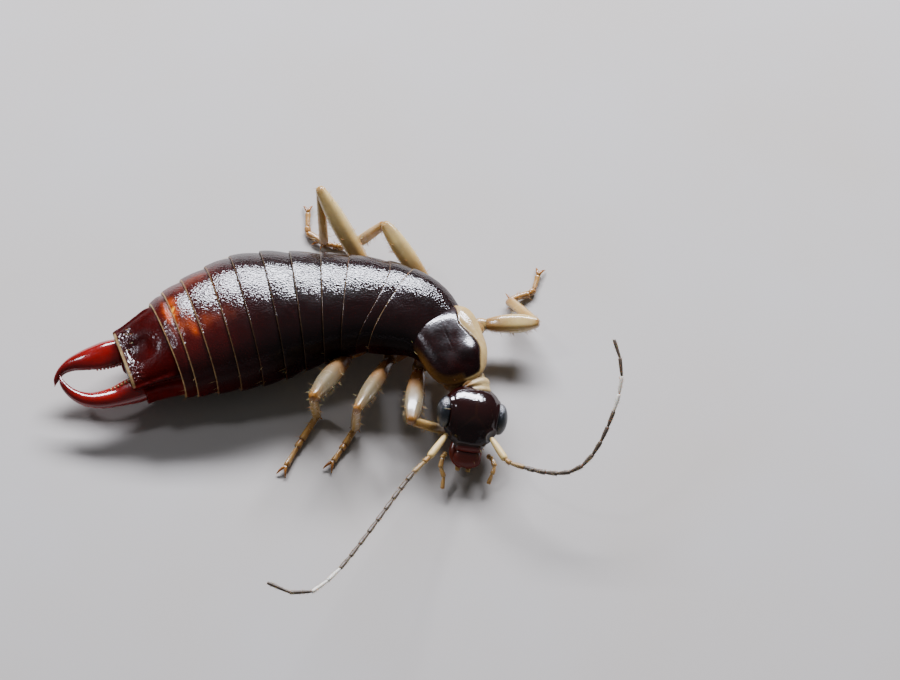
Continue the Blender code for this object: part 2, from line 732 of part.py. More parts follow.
def measured(path):
    """Return a function from a share of a path's length to its place in stations."""
    steps = 20 * (len(path) - 1)
    points = [Vector(spline(path, step / 20)[:3]) for step in range(steps + 1)]
    reached = [0.0]
    for point, following in zip(points, points[1:]):
        reached.append(reached[-1] + (following - point).length)

    def place(share):
        want = share * reached[-1]
        step = next(index for index in range(1, steps + 1) if reached[index] >= want - 1e-9)
        span = reached[step] - reached[step - 1]
        return (step - 1 + (want - reached[step - 1]) / span) / 20

    return place, reached[-1]


def antenna_radius(share):
    """Return a feeler's half thickness at a share of its length."""
    return ANTENNA_ROOT_RADIUS + (ANTENNA_TIP_RADIUS - ANTENNA_ROOT_RADIUS) * share


def antennae(parent):
    """Two feelers of tapering articles, each in four lengths."""
    ends = article_ends()
    for side, line in (("left", ANTENNA_LEFT), ("right", ANTENNA_RIGHT)):
        place_at, length = measured(line)
        firsts = [first for _, first in ANTENNA_NODES] + [ARTICLES]
        for (name, first), beyond in zip(ANTENNA_NODES, firsts[1:]):
            start = ends[first] + (GAP / length if first else 0.0)
            tip = beyond == ARTICLES
            outline = [(start, JOINT_THICK)]
            for article in range(first, beyond):
                for along, thick in ARTICLE_OUTLINE:
                    share = ends[article] + (ends[article + 1] - ends[article]) * along
                    if share > start + RING_STEP / length:
                        outline.append((share, thick))
            outline.append((ends[beyond], TIP_THICK if tip else JOINT_THICK))
            path = []
            for share, thick in outline:
                radius = antenna_radius(share) * thick
                path.append((*spline(line, place_at(share)), radius, radius))
            places = range(len(path))
            shape = tube(path, UP, sides=8, places=places, front=TIP_ROUND if tip else 0.0)
            root = path[0][:3]
            put(f"antenna_{side}_{name}", shape, root, GREY_BROWN, LEG_ROUGHNESS, parent)


def legs(parent):
    """Six legs, each a coxa, a femur, a tibia and a foot, each cut clear of the one before."""
    for name, places in LEGS.items():
        before = None
        for part in ("coxa", "femur", "tibia", "tarsus"):
            shape = foot(places) if part == "tarsus" else leg_length(places, part)
            if before:
                shape = cut(shape, leg_length(places, before, GAP))
            root = places[3] if part == "tarsus" else places[LEG_PARTS[part][0]]
            put(f"{name}_{part}", shape, root, LEG_COLOURS[part], LEG_ROUGHNESS, parent)
            before = part


def main():
    for item in list(bpy.data.objects):
        bpy.data.objects.remove(item, do_unlink=True)
    earwig = bpy.data.objects.new("earwig", None)
    earwig.location = MIDDLE * MM
    bpy.context.collection.objects.link(earwig)
    for build in (abdomen, last_segment, forceps, pronotum, prothorax, thorax, neck, head, mouth,
                  antennae, legs):
        build(earwig)


main()
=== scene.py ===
"""A life-size earwig as a museum shows it: the looks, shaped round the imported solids.

Lengths are millimetres in the animal's own axes, as in the part's source, unless a
property says otherwise. +X runs along the abdomen towards the head, +Z is up and z = 0
is the floor. Left and right are the animal's own.
"""

import math

import bmesh
import bpy
from mathutils import Matrix, Vector, noise


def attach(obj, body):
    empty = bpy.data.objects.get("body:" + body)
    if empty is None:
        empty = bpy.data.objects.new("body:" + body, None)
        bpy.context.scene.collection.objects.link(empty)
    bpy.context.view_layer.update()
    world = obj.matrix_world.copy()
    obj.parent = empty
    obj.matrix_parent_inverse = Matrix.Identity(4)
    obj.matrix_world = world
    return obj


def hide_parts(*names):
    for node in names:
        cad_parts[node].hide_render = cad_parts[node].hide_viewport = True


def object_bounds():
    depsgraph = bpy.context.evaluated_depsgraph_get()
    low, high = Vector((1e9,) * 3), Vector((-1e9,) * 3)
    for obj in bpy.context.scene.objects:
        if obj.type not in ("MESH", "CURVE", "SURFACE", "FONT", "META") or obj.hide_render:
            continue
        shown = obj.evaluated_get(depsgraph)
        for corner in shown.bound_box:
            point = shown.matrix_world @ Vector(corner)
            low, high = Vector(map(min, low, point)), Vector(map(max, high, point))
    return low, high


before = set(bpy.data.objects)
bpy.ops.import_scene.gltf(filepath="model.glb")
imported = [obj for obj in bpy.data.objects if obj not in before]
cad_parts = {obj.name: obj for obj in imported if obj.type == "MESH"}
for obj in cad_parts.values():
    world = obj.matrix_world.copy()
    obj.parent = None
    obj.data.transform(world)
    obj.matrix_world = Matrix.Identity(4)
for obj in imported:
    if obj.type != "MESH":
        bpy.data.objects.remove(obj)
CAD_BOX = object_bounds()

bl_info = {
    "name": "Museum earwig",
    "version": (1, 0, 0),
    "blender": (4, 5, 0),
    "location": "View3D > Sidebar > Earwig",
    "description": "Dresses the solid earwig in plates, skin, feelers, legs and bristles",
    "category": "Add Mesh",
}

MM = 0.001
MIDDLE = Vector((2.92, 1.67, 0.0))
UP = Vector((0.0, 0.0, 1.0))
BODY = "root"

# Trunk stations from the tail forward: x, y, heading, half width, underside, back.
TRUNK = (
    (-8.44, -0.76, 21, 1.00, 0.40, 1.50),
    (-7.36, -0.22, 23, 1.40, 0.22, 1.92),
    (-7.05, -0.05, 21, 1.54, 0.14, 2.05),
    (-6.56, 0.19, 20, 1.67, 0.06, 2.16),
    (-5.95, 0.44, 18, 1.80, -0.03, 2.27),
    (-5.35, 0.66, 16, 1.88, -0.05, 2.34),
    (-4.65, 0.83, 13, 1.83, -0.03, 2.36),
    (-4.00, 0.92, 9, 1.69, 0.12, 2.34),
    (-3.33, 0.97, 3, 1.57, 0.28, 2.30),
    (-2.72, 0.98, -4, 1.47, 0.42, 2.26),
    (-2.12, 0.94, -15, 1.40, 0.52, 2.22),
    (-1.49, 0.78, -28, 1.33, 0.60, 2.17),
    (-0.55, 0.32, -40, 1.12, 0.66, 2.04),
    (0.05, -0.50, -60, 0.90, 0.70, 1.90),
)
WIDEST_LEVEL = 0.45
BODY_POWER = 0.86
THORAX_POWER = 0.70
TAIL_POWER = 0.62

# Back plates of the abdomen: station of the edge in front and of the plate's own rear edge.
BACK_PLATES = ((10.55, 9), (9, 8), (8, 7), (7, 6), (6, 5), (5, 4), (4, 3), (3, 2), (2, 1))
PLATE_DROP = 0.06
PLATE_OVERLAP = 0.24
PLATE_COLUMNS = 84
# Distances from a plate's rear edge at which its lip has rows.
LIP_ROWS = (0.14, 0.09, 0.055, 0.03, 0.012, 0.0)
BACK_TURNS = (math.radians(-24), math.radians(204))
BELLY_TURNS = (math.radians(-164), math.radians(-16))
THORAX_TURNS = (math.radians(-6), math.radians(186))

# Pronotum, the shield behind the head.
SHIELD_MIDDLE = Vector((-0.02, -0.43, 0.0))
SHIELD_HEADING = math.radians(-67.0)
SHIELD_LENGTH = 2.20
SHIELD_REAR_WIDTH = 1.90
SHIELD_FRONT_WIDTH = 1.54
SHIELD_EDGE_LEVEL = 1.72
SHIELD_DOME = 0.26
SHIELD_POWER = 0.62

# Head: the middle of its back, its heading, how far it points down and its roll.
HEAD_BACK = Vector((0.62, -1.52, 1.20))
HEAD_HEADING = math.radians(-95.5)
HEAD_PITCH = math.radians(16.0)
HEAD_ROLL = math.radians(14.0)
HEAD_LENGTH = 1.60
HEAD_POWER = 0.80
# Along the head from its back: share of the length, half width, half height.
HEAD_OUTLINE = (
    (0.00, 0.46, 0.25),
    (0.10, 0.63, 0.39),
    (0.28, 0.74, 0.52),
    (0.46, 0.72, 0.56),
    (0.64, 0.65, 0.50),
    (0.80, 0.52, 0.38),
    (0.92, 0.39, 0.27),
    (1.00, 0.33, 0.20),
)
EYE_PLACE = (0.69, 0.72, 0.06)
EYE_HALF_SIZES = (0.40, 0.20, 0.29)

# Feelers: places along the middle line.
FEELER_RIGHT = (
    (-0.08, -2.71, 1.00), (-0.48, -3.41, 1.15), (-0.88, -3.95, 1.30), (-1.28, -4.68, 1.55),
    (-2.09, -6.22, 2.00), (-2.65, -7.27, 2.40), (-3.11, -7.90, 2.65), (-3.45, -8.18, 2.80),
    (-3.90, -8.20, 2.92), (-4.37, -8.00, 3.00),
)
FEELER_LEFT = (
    (1.05, -2.83, 1.00), (1.42, -3.50, 1.05), (1.78, -3.72, 1.12), (2.27, -3.95, 1.25),
    (2.77, -4.10, 1.42), (3.20, -4.08, 1.60), (3.56, -3.80, 1.78), (3.82, -3.45, 2.00),
    (4.02, -3.05, 2.22), (4.20, -2.62, 2.45), (4.31, -2.20, 2.66), (4.32, -1.86, 2.84),
    (4.25, -1.50, 3.00), (4.14, -1.20, 3.12),
)
# Lengths of a feeler's articles, as shares of one another.
FEELER_ARTICLES = (
    0.90, 0.24, 0.46, 0.36, 0.38, 0.40, 0.42, 0.44, 0.46, 0.48, 0.50, 0.52, 0.54, 0.56, 0.58, 0.60,
)
WHITE_ARTICLES = (12, 13)
PALP_RIGHT = ((-0.10, -2.98, 0.52), (-0.26, -3.30, 0.50), (-0.16, -3.58, 0.38), (-0.20, -3.88, 0.24))
PALP_LEFT = ((0.96, -3.02, 0.44), (1.15, -3.24, 0.46), (1.09, -3.50, 0.38), (0.98, -3.74, 0.24))
PALP_ARTICLES = (0.20, 0.24, 0.62, 0.60, 0.70)

# Forceps: middle line, with the half thickness across and up.
FORCEPS = {
    "left": (
        (-8.20, -0.08, 0.95, 0.30, 0.24), (-8.55, -0.15, 0.95, 0.33, 0.26),
        (-8.86, -0.24, 0.95, 0.36, 0.26),
        (-9.12, -0.33, 0.95, 0.35, 0.24), (-9.50, -0.44, 0.92, 0.29, 0.20),
        (-9.83, -0.53, 0.86, 0.20, 0.16), (-10.08, -0.67, 0.78, 0.12, 0.12),
        (-10.22, -0.85, 0.68, 0.08, 0.08), (-10.27, -1.06, 0.60, 0.03, 0.03)),
    "right": (
        (-7.45, -1.03, 0.85, 0.28, 0.24), (-7.80, -1.17, 0.84, 0.34, 0.28),
        (-8.12, -1.31, 0.84, 0.35, 0.29),
        (-8.40, -1.43, 0.85, 0.31, 0.25),
        (-8.62, -1.52, 0.85, 0.27, 0.22), (-8.95, -1.61, 0.86, 0.24, 0.20),
        (-9.28, -1.63, 0.88, 0.20, 0.17), (-9.58, -1.55, 0.91, 0.16, 0.14),
        (-9.82, -1.41, 0.96, 0.12, 0.11), (-10.00, -1.22, 1.02, 0.08, 0.08),
        (-10.09, -1.00, 1.08, 0.03, 0.03)),
}

# Legs: hip, end of the coxa, knee, ankle, middle of the foot, toe.
LEGS = {
    "front_right": (
        (-0.52, -0.14, 0.86), (-0.81, -0.55, 0.65), (-0.99, -2.50, 1.30),
        (-0.10, -2.14, 0.20), (0.30, -2.30, 0.11), (0.66, -2.42, 0.10)),
    "front_left": (
        (0.26, 0.16, 0.86), (0.82, 0.74, 0.76), (2.28, 0.66, 1.00),
        (1.57, 1.86, 0.20), (2.20, 2.20, 0.11), (2.36, 2.72, 0.10)),
    "middle_right": (
        (-1.25, 0.05, 0.80), (-1.54, -0.21, 0.65), (-2.36, -2.44, 1.80),
        (-2.46, -2.08, 0.20), (-2.71, -2.50, 0.11), (-3.02, -3.02, 0.10)),
    "middle_left": (
        (-0.72, 1.05, 0.80), (-0.47, 1.80, 0.65), (-1.73, 3.44, 1.50),
        (-2.64, 3.59, 0.20), (-3.07, 3.66, 0.11), (-3.46, 3.79, 0.10)),
    "hind_right": (
        (-2.10, 0.32, 0.80), (-2.64, -0.06, 0.65), (-3.47, -2.22, 2.00),
        (-3.46, -1.70, 0.20), (-3.86, -2.42, 0.11), (-4.23, -3.16, 0.10)),
    "hind_left": (
        (-1.65, 1.42, 0.80), (-2.02, 2.13, 0.65), (-3.46, 4.30, 1.90),
        (-3.39, 3.69, 0.20), (-3.84, 4.12, 0.11), (-3.86, 4.76, 0.10)),
}
# Share of the length, half depth, half thickness, how amber and how dark red it is. At a
# leg's root these are partly the joint's own colour and partly painted shade from the body.
COXA_OUTLINE = (
    (0.00, 0.30, 0.28, 0.9, 0.6), (0.30, 0.30, 0.28, 0.9, 0.6), (0.70, 0.26, 0.24, 0.8, 0.6),
    (0.92, 0.20, 0.19, 0.9, 0.5), (1.00, 0.12, 0.12, 1.0, 0.5),
)
TROCHANTER_OUTLINE = (
    (0.0, 0.08, 0.08, 1.0, 0.6), (0.2, 0.18, 0.17, 0.9, 0.5), (0.6, 0.19, 0.17, 0.7, 0.4),
    (1.0, 0.10, 0.10, 1.0, 0.4),
)
FEMUR_OUTLINE = (
    (0.00, 0.10, 0.10, 0.9, 0.7), (0.03, 0.15, 0.15, 0.9, 0.7), (0.12, 0.20, 0.19, 0.9, 0.6),
    (0.28, 0.25, 0.23, 0.7, 0.35), (0.48, 0.275, 0.25, 0.25, 0.08), (0.66, 0.27, 0.24, 0.0, 0.0),
    (0.81, 0.235, 0.20, 0.05, 0.0), (0.91, 0.185, 0.16, 0.3, 0.0), (0.97, 0.14, 0.13, 0.8, 0.0),
    (1.00, 0.08, 0.08, 1.0, 0.1),
)
# The middle thigh on the right is seen edge on, and is the slimmest.
THIGH_GIRTHS = {"middle_right": 0.82}
TIBIA_OUTLINE = (
    (0.00, 0.07, 0.07, 1.0, 0.1), (0.04, 0.11, 0.10, 0.9, 0.0), (0.12, 0.12, 0.11, 0.6, 0.0),
    (0.40, 0.14, 0.12, 0.45, 0.0), (0.75, 0.145, 0.125, 0.5, 0.0), (0.94, 0.14, 0.12, 0.8, 0.1),
    (1.00, 0.08, 0.07, 1.0, 0.2),
)
FOOT_OUTLINE = (
    (0.00, 0.06, 0.06, 0.9, 0.2), (0.03, 0.085, 0.08, 0.8, 0.1), (0.25, 0.09, 0.085, 0.7, 0.1),
    (0.44, 0.10, 0.095, 0.8, 0.1), (0.47, 0.06, 0.055, 1.0, 0.3), (0.50, 0.085, 0.08, 0.9, 0.1),
    (0.60, 0.10, 0.09, 0.8, 0.1), (0.63, 0.05, 0.05, 1.0, 0.3), (0.66, 0.065, 0.06, 0.8, 0.1),
    (0.85, 0.075, 0.07, 0.7, 0.1), (0.96, 0.085, 0.08, 0.8, 0.1), (1.00, 0.05, 0.05, 1.0, 0.2),
)
CLAW_LENGTH = 0.30
# Rounded teeth along the inner edge of each arm, between two shares of its length.
BEADS = 8
BEAD_SHARES = (0.20, 0.44)
BEAD_TURNS = {"left": math.radians(-28), "right": math.radians(60)}
CLAW_SPREAD = math.radians(26)


def from_hex(value):
    """Turn an sRGB hex colour into linear red, green and blue."""
    shares = [int(value[start:start + 2], 16) / 255 for start in (1, 3, 5)]
    return tuple(
        share / 12.92 if share <= 0.04045 else ((share + 0.055) / 1.055) ** 2.4 for share in shares
    )


def colour(name, description, value):
    """Return a colour property with a hex default."""
    return bpy.props.FloatVectorProperty(
        name=name, description=description, subtype="COLOR", size=3, min=0.0, max=1.0,
        default=from_hex(value),
    )


def length(name, description, millimetres):
    """Return a length property whose default is given in millimetres."""
    return bpy.props.FloatProperty(
        name=name, description=description, default=millimetres * MM, min=0.0, unit="LENGTH",
        precision=6,
    )


class EarwigSizes(bpy.types.PropertyGroup):
    """Sizes that a user would change."""

    plate_thickness: length("Plate thickness", "Thickness of a back plate at its lip", 0.045)
    lip_width: length("Pale lip", "Width of the pale rear edge of each plate", 0.026)
    feeler_root: length("Feeler root", "Half thickness of a feeler at its first article", 0.095)
    feeler_tip: length("Feeler tip", "Half thickness of a feeler at its last article", 0.060)
    body_bristle: length("Body bristle", "Length of a bristle on a plate's edge", 0.20)
    leg_bristle: length("Leg bristle", "Length of a bristle on a shin", 0.13)
    down: length("Feeler down", "Length of the down on a feeler", 0.06)
    facet_rows: bpy.props.IntProperty(
        name="Eye facets", description="How often the ball of an eye is divided", default=4,
        min=1, max=5,
    )
    floor_width: bpy.props.FloatProperty(
        name="Floor width", description="Width of the pale floor", unit="LENGTH",
        default=(CAD_BOX[1] - CAD_BOX[0]).length * 40,
    )


class EarwigColours(bpy.types.PropertyGroup):
    """Colours that a user would change, as seen in plain daylight."""

    shell: colour("Shell", "Black-brown of the plates", "#0e0404")
    shell_warm: colour("Warm shell", "Maroon of the plates towards the tail", "#480403")
    face: colour("Face", "Dark red of the mouth", "#5e0e09")
    glow: colour("Glow", "Orange where light comes through the plates", "#d85606")
    hot_glow: colour("Bright glow", "Yellow where the most light comes through", "#ffb81e")
    lip: colour("Lip", "Pale rear edge of the plates", "#dcb47c")
    horn: colour("Horn", "Blood red of the forceps", "#8a0706")
    horn_tip: colour("Horn tip", "Dark red of the forceps' tips", "#300303")
    cream: colour("Cream", "Soft skin and the margin of the shield", "#a89064")
    straw: colour("Straw", "Translucent legs", "#dcc07c")
    # Painted shade: the right legs lie in the body's shade, so their thighs get this darker grey in place
    # of straw.
    leg_shade_grey: colour("Flesh", "Greyish cream of the thighs on the right", "#6b6353")
    amber: colour("Amber", "Joints and feet", "#946422")
    feeler: colour("Feeler", "Grey-brown articles", "#54483a")
    feeler_pale: colour("Feeler band", "White articles near the tip", "#e9e4d6")
    eye: colour("Eye", "Lenses of the compound eyes", "#0c0c0f")
    # Painted sheen: a grey mottled over the black of the lenses.
    eye_sheen_grey: colour("Eye bloom", "Grey bloom on the lenses", "#30353b")
    bristle: colour("Bristle", "Golden bristles", "#dcc08a")
    floor: colour("Floor", "The pale floor", "#b4b1ac")


def sizes():
    return bpy.context.scene.earwig_sizes


def tone(name):
    """Return one of the user's colours with full opacity."""
    return (*getattr(bpy.context.scene.earwig_colours, name), 1.0)


def blend(low, high, share):
    """Rise smoothly from 0 to 1 while the share goes from low to high."""
    share = min(max((share - low) / (high - low), 0.0), 1.0)
    return share * share * (3 - 2 * share)


def hill(distance, width):
    """Return a bell of height 1."""
    return math.exp(-((distance / width) ** 2))


def spline(stations, place):
    """Return the smooth blend of the stations at a place counted in stations."""
    last = len(stations) - 1
    place = min(max(place, 0.0), float(last))
    first = min(int(place), last - 1)
    share = place - first
    around = [stations[min(max(first + step, 0), last)] for step in (-1, 0, 1, 2)]
    blended = []
    for before, here, beyond, after in zip(*around):
        slope_in = (beyond - before) / 2
        slope_out = (after - here) / 2
        blended.append(
            here * (2 * share**3 - 3 * share**2 + 1)
            + slope_in * (share**3 - 2 * share**2 + share)
            + beyond * (3 * share**2 - 2 * share**3)
            + slope_out * (share**3 - share**2)
        )
    return blended


def measured(path):
    """Return a function from a share of a path's length to its place, and the length."""
    fine = 24
    steps = fine * (len(path) - 1)
    points = [Vector(spline(path, step / fine)[:3]) for step in range(steps + 1)]
    reached = [0.0]
    for point, following in zip(points, points[1:]):
        reached.append(reached[-1] + (following - point).length)

    def place(share):
        want = min(share, 1.0) * reached[-1]
        step = next(index for index in range(1, steps + 1) if reached[index] >= want - 1e-9)
        span = reached[step] - reached[step - 1]
        return (step - 1 + (want - reached[step - 1]) / span) / fine

    return place, reached[-1]


def squared(value, power):
    """Return a sine or cosine drawn out towards the corners of a rounded box."""
    return math.copysign(abs(value) ** power, value)


class Clay:
    """A piece being shaped: points, faces, painted tints and the way its bristles lean.

    A spot is a point, its tint of four shares (pale, warm, glow, bristly) and its lean.
    """

    def __init__(self):
        self.spots = []
        self.faces = []

    def rows(self, rows):
        """Take in rows of spots and return their numbers."""
        numbered = []
        for row in rows:
            numbered.append(range(len(self.spots), len(self.spots) + len(row)))
            self.spots.extend(row)
        return numbered

    def tube(self, rows):
        """Skin closed rings of spots and close both ends with a fan."""
        numbered = self.rows(rows)
        for row, following in zip(numbered, numbered[1:]):
            for index in range(len(row)):
                after = (index + 1) % len(row)
                self.faces.append((row[index], row[after], following[after], following[index]))
        for row in (numbered[0], numbered[-1]):
            middle = sum((self.spots[number][0] for number in row), Vector()) / len(row)
            hub = len(self.spots)
            self.spots.append((middle, *self.spots[row[0]][1:]))
            for index in range(len(row)):
                self.faces.append((row[index], row[(index + 1) % len(row)], hub))

    def plate(self, outer, inner):
        """Skin an open sheet and the sheet under it, and join them round the edge."""
        top, under = self.rows(outer), self.rows(inner)
        for sheet in (top, under):
            for row, following in zip(sheet, sheet[1:]):
                for index in range(len(row) - 1):
                    self.faces.append(
                        (row[index], row[index + 1], following[index + 1], following[index])
                    )
        rim = [*top[0], *(row[-1] for row in top[1:-1]), *reversed(top[-1])]
        rim += [row[0] for row in reversed(top[1:-1])]
        under_rim = [*under[0], *(row[-1] for row in under[1:-1]), *reversed(under[-1])]
        under_rim += [row[0] for row in reversed(under[1:-1])]
        for index, number in enumerate(rim):
            after = (index + 1) % len(rim)
            self.faces.append((number, rim[after], under_rim[after], under_rim[index]))

    def mesh(self, name):
        """Return the finished mesh in metres, in the row frame."""
        mesh = bpy.data.meshes.new(name)
        points = [(spot[0] + MIDDLE) * MM for spot in self.spots]
        mesh.from_pydata(points, [], self.faces)
        tints = mesh.attributes.new("tint", "FLOAT_COLOR", "POINT")
        painted_spots = []
        for point, (pale, warm, glow, bristly), _ in self.spots:
            # No bristle grows where it would reach through the floor.
            painted_spots += [pale, warm, glow, bristly * blend(0.10, 0.30, point.z)]
        tints.data.foreach_set("color", painted_spots)
        leans = mesh.attributes.new("lean", "FLOAT_VECTOR", "POINT")
        leans.data.foreach_set("vector", [part for spot in self.spots for part in spot[2]])
        facing = bmesh.new()
        facing.from_mesh(mesh)
        bmesh.ops.recalc_face_normals(facing, faces=facing.faces)
        facing.to_mesh(mesh)
        facing.free()
        mesh.shade_smooth()
        mesh.set_sharp_from_angle(angle=math.radians(50))
        return mesh


def put(name, mesh, material, replaced=()):
    """Show a mesh that already stands in its place, hang it on the body and hide the parts it replaces."""
    mesh.materials.clear()
    mesh.materials.append(material)
    piece = bpy.data.objects.new(name, mesh)
    bpy.context.scene.collection.objects.link(piece)
    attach(piece, BODY)
    if replaced:
        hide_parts(*replaced)
    return piece


def way_along(path, place):
    """Return the direction of a smooth path at a place counted in stations."""
    ahead, behind = spline(path, place + 0.05), spline(path, place - 0.05)
    return (Vector(ahead[:3]) - Vector(behind[:3])).normalized()


def round_rows(path, up, sides, rings, power=1.0, tint=None):
    """Return rings round a smooth path of x, y, z, half width, half height."""
    rows = []
    last = len(path) - 1
    for step in range(rings + 1):
        place = last * step / rings
        x, y, z, half_width, half_height = spline(path, place)[:5]
        way = way_along(path, place)
        across = way.cross(up).normalized()
        rise = across.cross(way).normalized()
        paint = tint(step / rings) if tint else (0.0, 0.0, 0.0, 0.0)
        row = []
        for index in range(sides):
            turn = 2 * math.pi * index / sides
            point = (
                Vector((x, y, z))
                + across * squared(math.cos(turn), power) * half_width
                + rise * squared(math.sin(turn), power) * half_height
            )
            row.append((point, paint, way))
        rows.append(row)
    return rows


def add(tree, kind, inputs=None, **settings):
    """Add a node. Each input is given a value, or the node or socket that feeds it."""
    made = tree.nodes.new(kind)
    for name, value in settings.items():
        setattr(made, name, value)
    for key, value in (inputs or {}).items():
        if isinstance(value, bpy.types.Node):
            value = next(socket for socket in value.outputs if socket.enabled)
        if isinstance(value, bpy.types.NodeSocket):
            tree.links.new(value, made.inputs[key])
        else:
            made.inputs[key].default_value = value
    return made


def made_material(name, finish):
    """Return a material by name, finished the first time it is asked for."""
    found = bpy.data.materials.get(name)
    if found:
        return found
    found = bpy.data.materials.new(name)
    found.use_nodes = True
    tree = found.node_tree
    tree.nodes.clear()
    add(tree, "ShaderNodeOutputMaterial", {"Surface": finish(tree)})
    return found


def painted(tree):
    """Return the shares painted on a piece: pale, warm and glow."""
    tint = add(tree, "ShaderNodeAttribute", attribute_name="tint")
    return add(tree, "ShaderNodeSeparateColor", {"Color": tint.outputs["Color"]}).outputs


def mottled(tree, patch, low, high):
    """Return a share that wanders from low to high over patches so many millimetres wide."""
    place = add(tree, "ShaderNodeTexCoord").outputs["Object"]
    cloud = add(tree, "ShaderNodeTexNoise", {"Vector": place, "Scale": 1 / (patch * MM), "Detail": 3.0})
    return add(
        tree, "ShaderNodeMapRange",
        {"Value": cloud, "From Min": 0.3, "From Max": 0.7, "To Min": low, "To Max": high},
    )


def leathery(tree, cell, cell_depth, lump, lump_depth):
    """Return the normals of skin with cells and lumps of these widths and depths in mm."""
    place = add(tree, "ShaderNodeTexCoord").outputs["Object"]
    cells = add(tree, "ShaderNodeTexVoronoi", {"Vector": place, "Scale": 1 / (cell * MM)})
    lumps = add(tree, "ShaderNodeTexNoise", {"Vector": place, "Scale": 1 / (lump * MM), "Detail": 4.0})
    pitted = add(tree, "ShaderNodeBump", {"Height": cells, "Distance": cell_depth * MM})
    return add(
        tree, "ShaderNodeBump", {"Height": lumps, "Distance": lump_depth * MM, "Normal": pitted}
    )


def upward(tree, low, high, most=1.0):
    """Return a share that rises from 0 to the most as the surface turns from sideways to up."""
    facing = add(tree, "ShaderNodeNewGeometry").outputs["Normal"]
    rise = add(tree, "ShaderNodeSeparateXYZ", {"Vector": facing}).outputs["Z"]
    return add(
        tree, "ShaderNodeMapRange",
        {"Value": rise, "From Min": low, "From Max": high, "To Max": most},
    )


def dyed(tree, ground, *dyes):
    """Return a colour with dyes laid over it in turn, each by its share."""
    for share, dye in dyes:
        ground = add(
            tree, "ShaderNodeMix", {"Factor": share, "A": ground, "B": dye}, data_type="RGBA"
        )
    return ground


def patchy(tree, share, patch, low):
    """Return a painted share broken up into patches so many millimetres wide."""
    cloud = mottled(tree, patch, low, 1.0)
    return add(tree, "ShaderNodeMath", {0: share, 1: cloud}, operation="MULTIPLY")


def shell_cuticle(tree):
    """Hard, tanned insect cuticle: thick black-brown chitin under a waxy, glossy skin.

    It is black where it is thickest and clear maroon where it thins towards the tail. The
    wax lies on the back only, so the flanks are duller, and so is the thin cuticle that
    light comes through. The leathery cells, 0.01 mm in life, are drawn 0.04 mm wide so that
    they break up each highlight in the render.
    """
    skin = leathery(tree, 0.045, 0.006, 0.12, 0.004)
    tint = painted(tree)
    dull = add(
        tree, "ShaderNodeMapRange",
        {"Value": tint["Blue"], "From Max": 0.5, "To Min": 1.0, "To Max": 0.1},
    )
    wax = add(tree, "ShaderNodeMath", {0: upward(tree, 0.5, 0.9), 1: dull}, operation="MULTIPLY")
    hot = add(
        tree, "ShaderNodeMapRange",
        {"Value": patchy(tree, tint["Blue"], 0.16, 0.3), "From Min": 0.62, "From Max": 1.0},
    )
    body = dyed(
        tree, tone("shell"),
        (patchy(tree, tint["Green"], 0.9, 0.35), tone("shell_warm")),
        (patchy(tree, tint["Blue"], 0.25, 0.1), tone("glow")),
        (hot, tone("hot_glow")),
        (patchy(tree, tint["Red"], 0.12, 0.45), tone("lip")),
    )
    return add(tree, "ShaderNodeBsdfPrincipled", {
        "Base Color": body,
        "Roughness": mottled(tree, 0.3, 0.22, 0.34),
        "Normal": skin,
        "IOR": 1.5,
        "Specular IOR Level": 0.08,
        "Coat Weight": wax,
        "Coat Roughness": 0.06,
        "Coat IOR": 1.6,
        "Coat Normal": skin,
        "Subsurface Weight": 0.15,
        "Subsurface Radius": (1.0, 0.15, 0.08),
        "Subsurface Scale": 0.12 * MM,
    })


def tail_cuticle(tree):
    """Maroon chitin of the last segment: dull, but polished on the grains along its rim.

    Its lower sides are thin and clear, and show as red as the forceps.
    """
    skin = leathery(tree, 0.05, 0.003, 0.12, 0.008)
    tint = painted(tree)
    grain = add(tree, "ShaderNodeAttribute", attribute_name="tint").outputs["Alpha"]
    polish = add(tree, "ShaderNodeMath", {0: upward(tree, 0.4, 0.8), 1: grain}, operation="MULTIPLY")
    body = dyed(
        tree, tone("shell"),
        (patchy(tree, tint["Green"], 0.9, 0.35), tone("shell_warm")),
        (patchy(tree, tint["Blue"], 0.4, 0.3), tone("horn")),
        (patchy(tree, tint["Red"], 0.12, 0.6), tone("cream")),
    )
    return add(tree, "ShaderNodeBsdfPrincipled", {
        "Base Color": body,
        "Roughness": mottled(tree, 0.3, 0.24, 0.36),
        "Normal": skin,
        "IOR": 1.5,
        "Specular IOR Level": 0.06,
        "Coat Weight": polish,
        "Coat Roughness": 0.08,
        "Coat IOR": 1.6,
        "Coat Normal": skin,
        "Subsurface Weight": 0.25,
        "Subsurface Radius": (1.0, 0.15, 0.08),
        "Subsurface Scale": 0.2 * MM,
    })


def horn_cuticle(tree):
    """Solid, polished horn of the forceps: clear blood red, darker where it is thickest."""
    tint = painted(tree)
    body = dyed(
        tree, tone("horn"),
        (tint["Green"], tone("horn_tip")),
        (mottled(tree, 0.5, 0.0, 0.35), tone("horn_tip")),
        (tint["Red"], tone("cream")),
    )
    return add(tree, "ShaderNodeBsdfPrincipled", {
        "Base Color": body,
        "Roughness": mottled(tree, 0.2, 0.12, 0.22),
        "Normal": leathery(tree, 0.05, 0.001, 0.12, 0.002),
        "IOR": 1.56,
        "Coat Weight": 0.5,
        "Coat Roughness": 0.06,
        "Subsurface Weight": 0.5,
        "Subsurface Radius": (1.0, 0.12, 0.06),
        "Subsurface Scale": 0.35 * MM,
    })


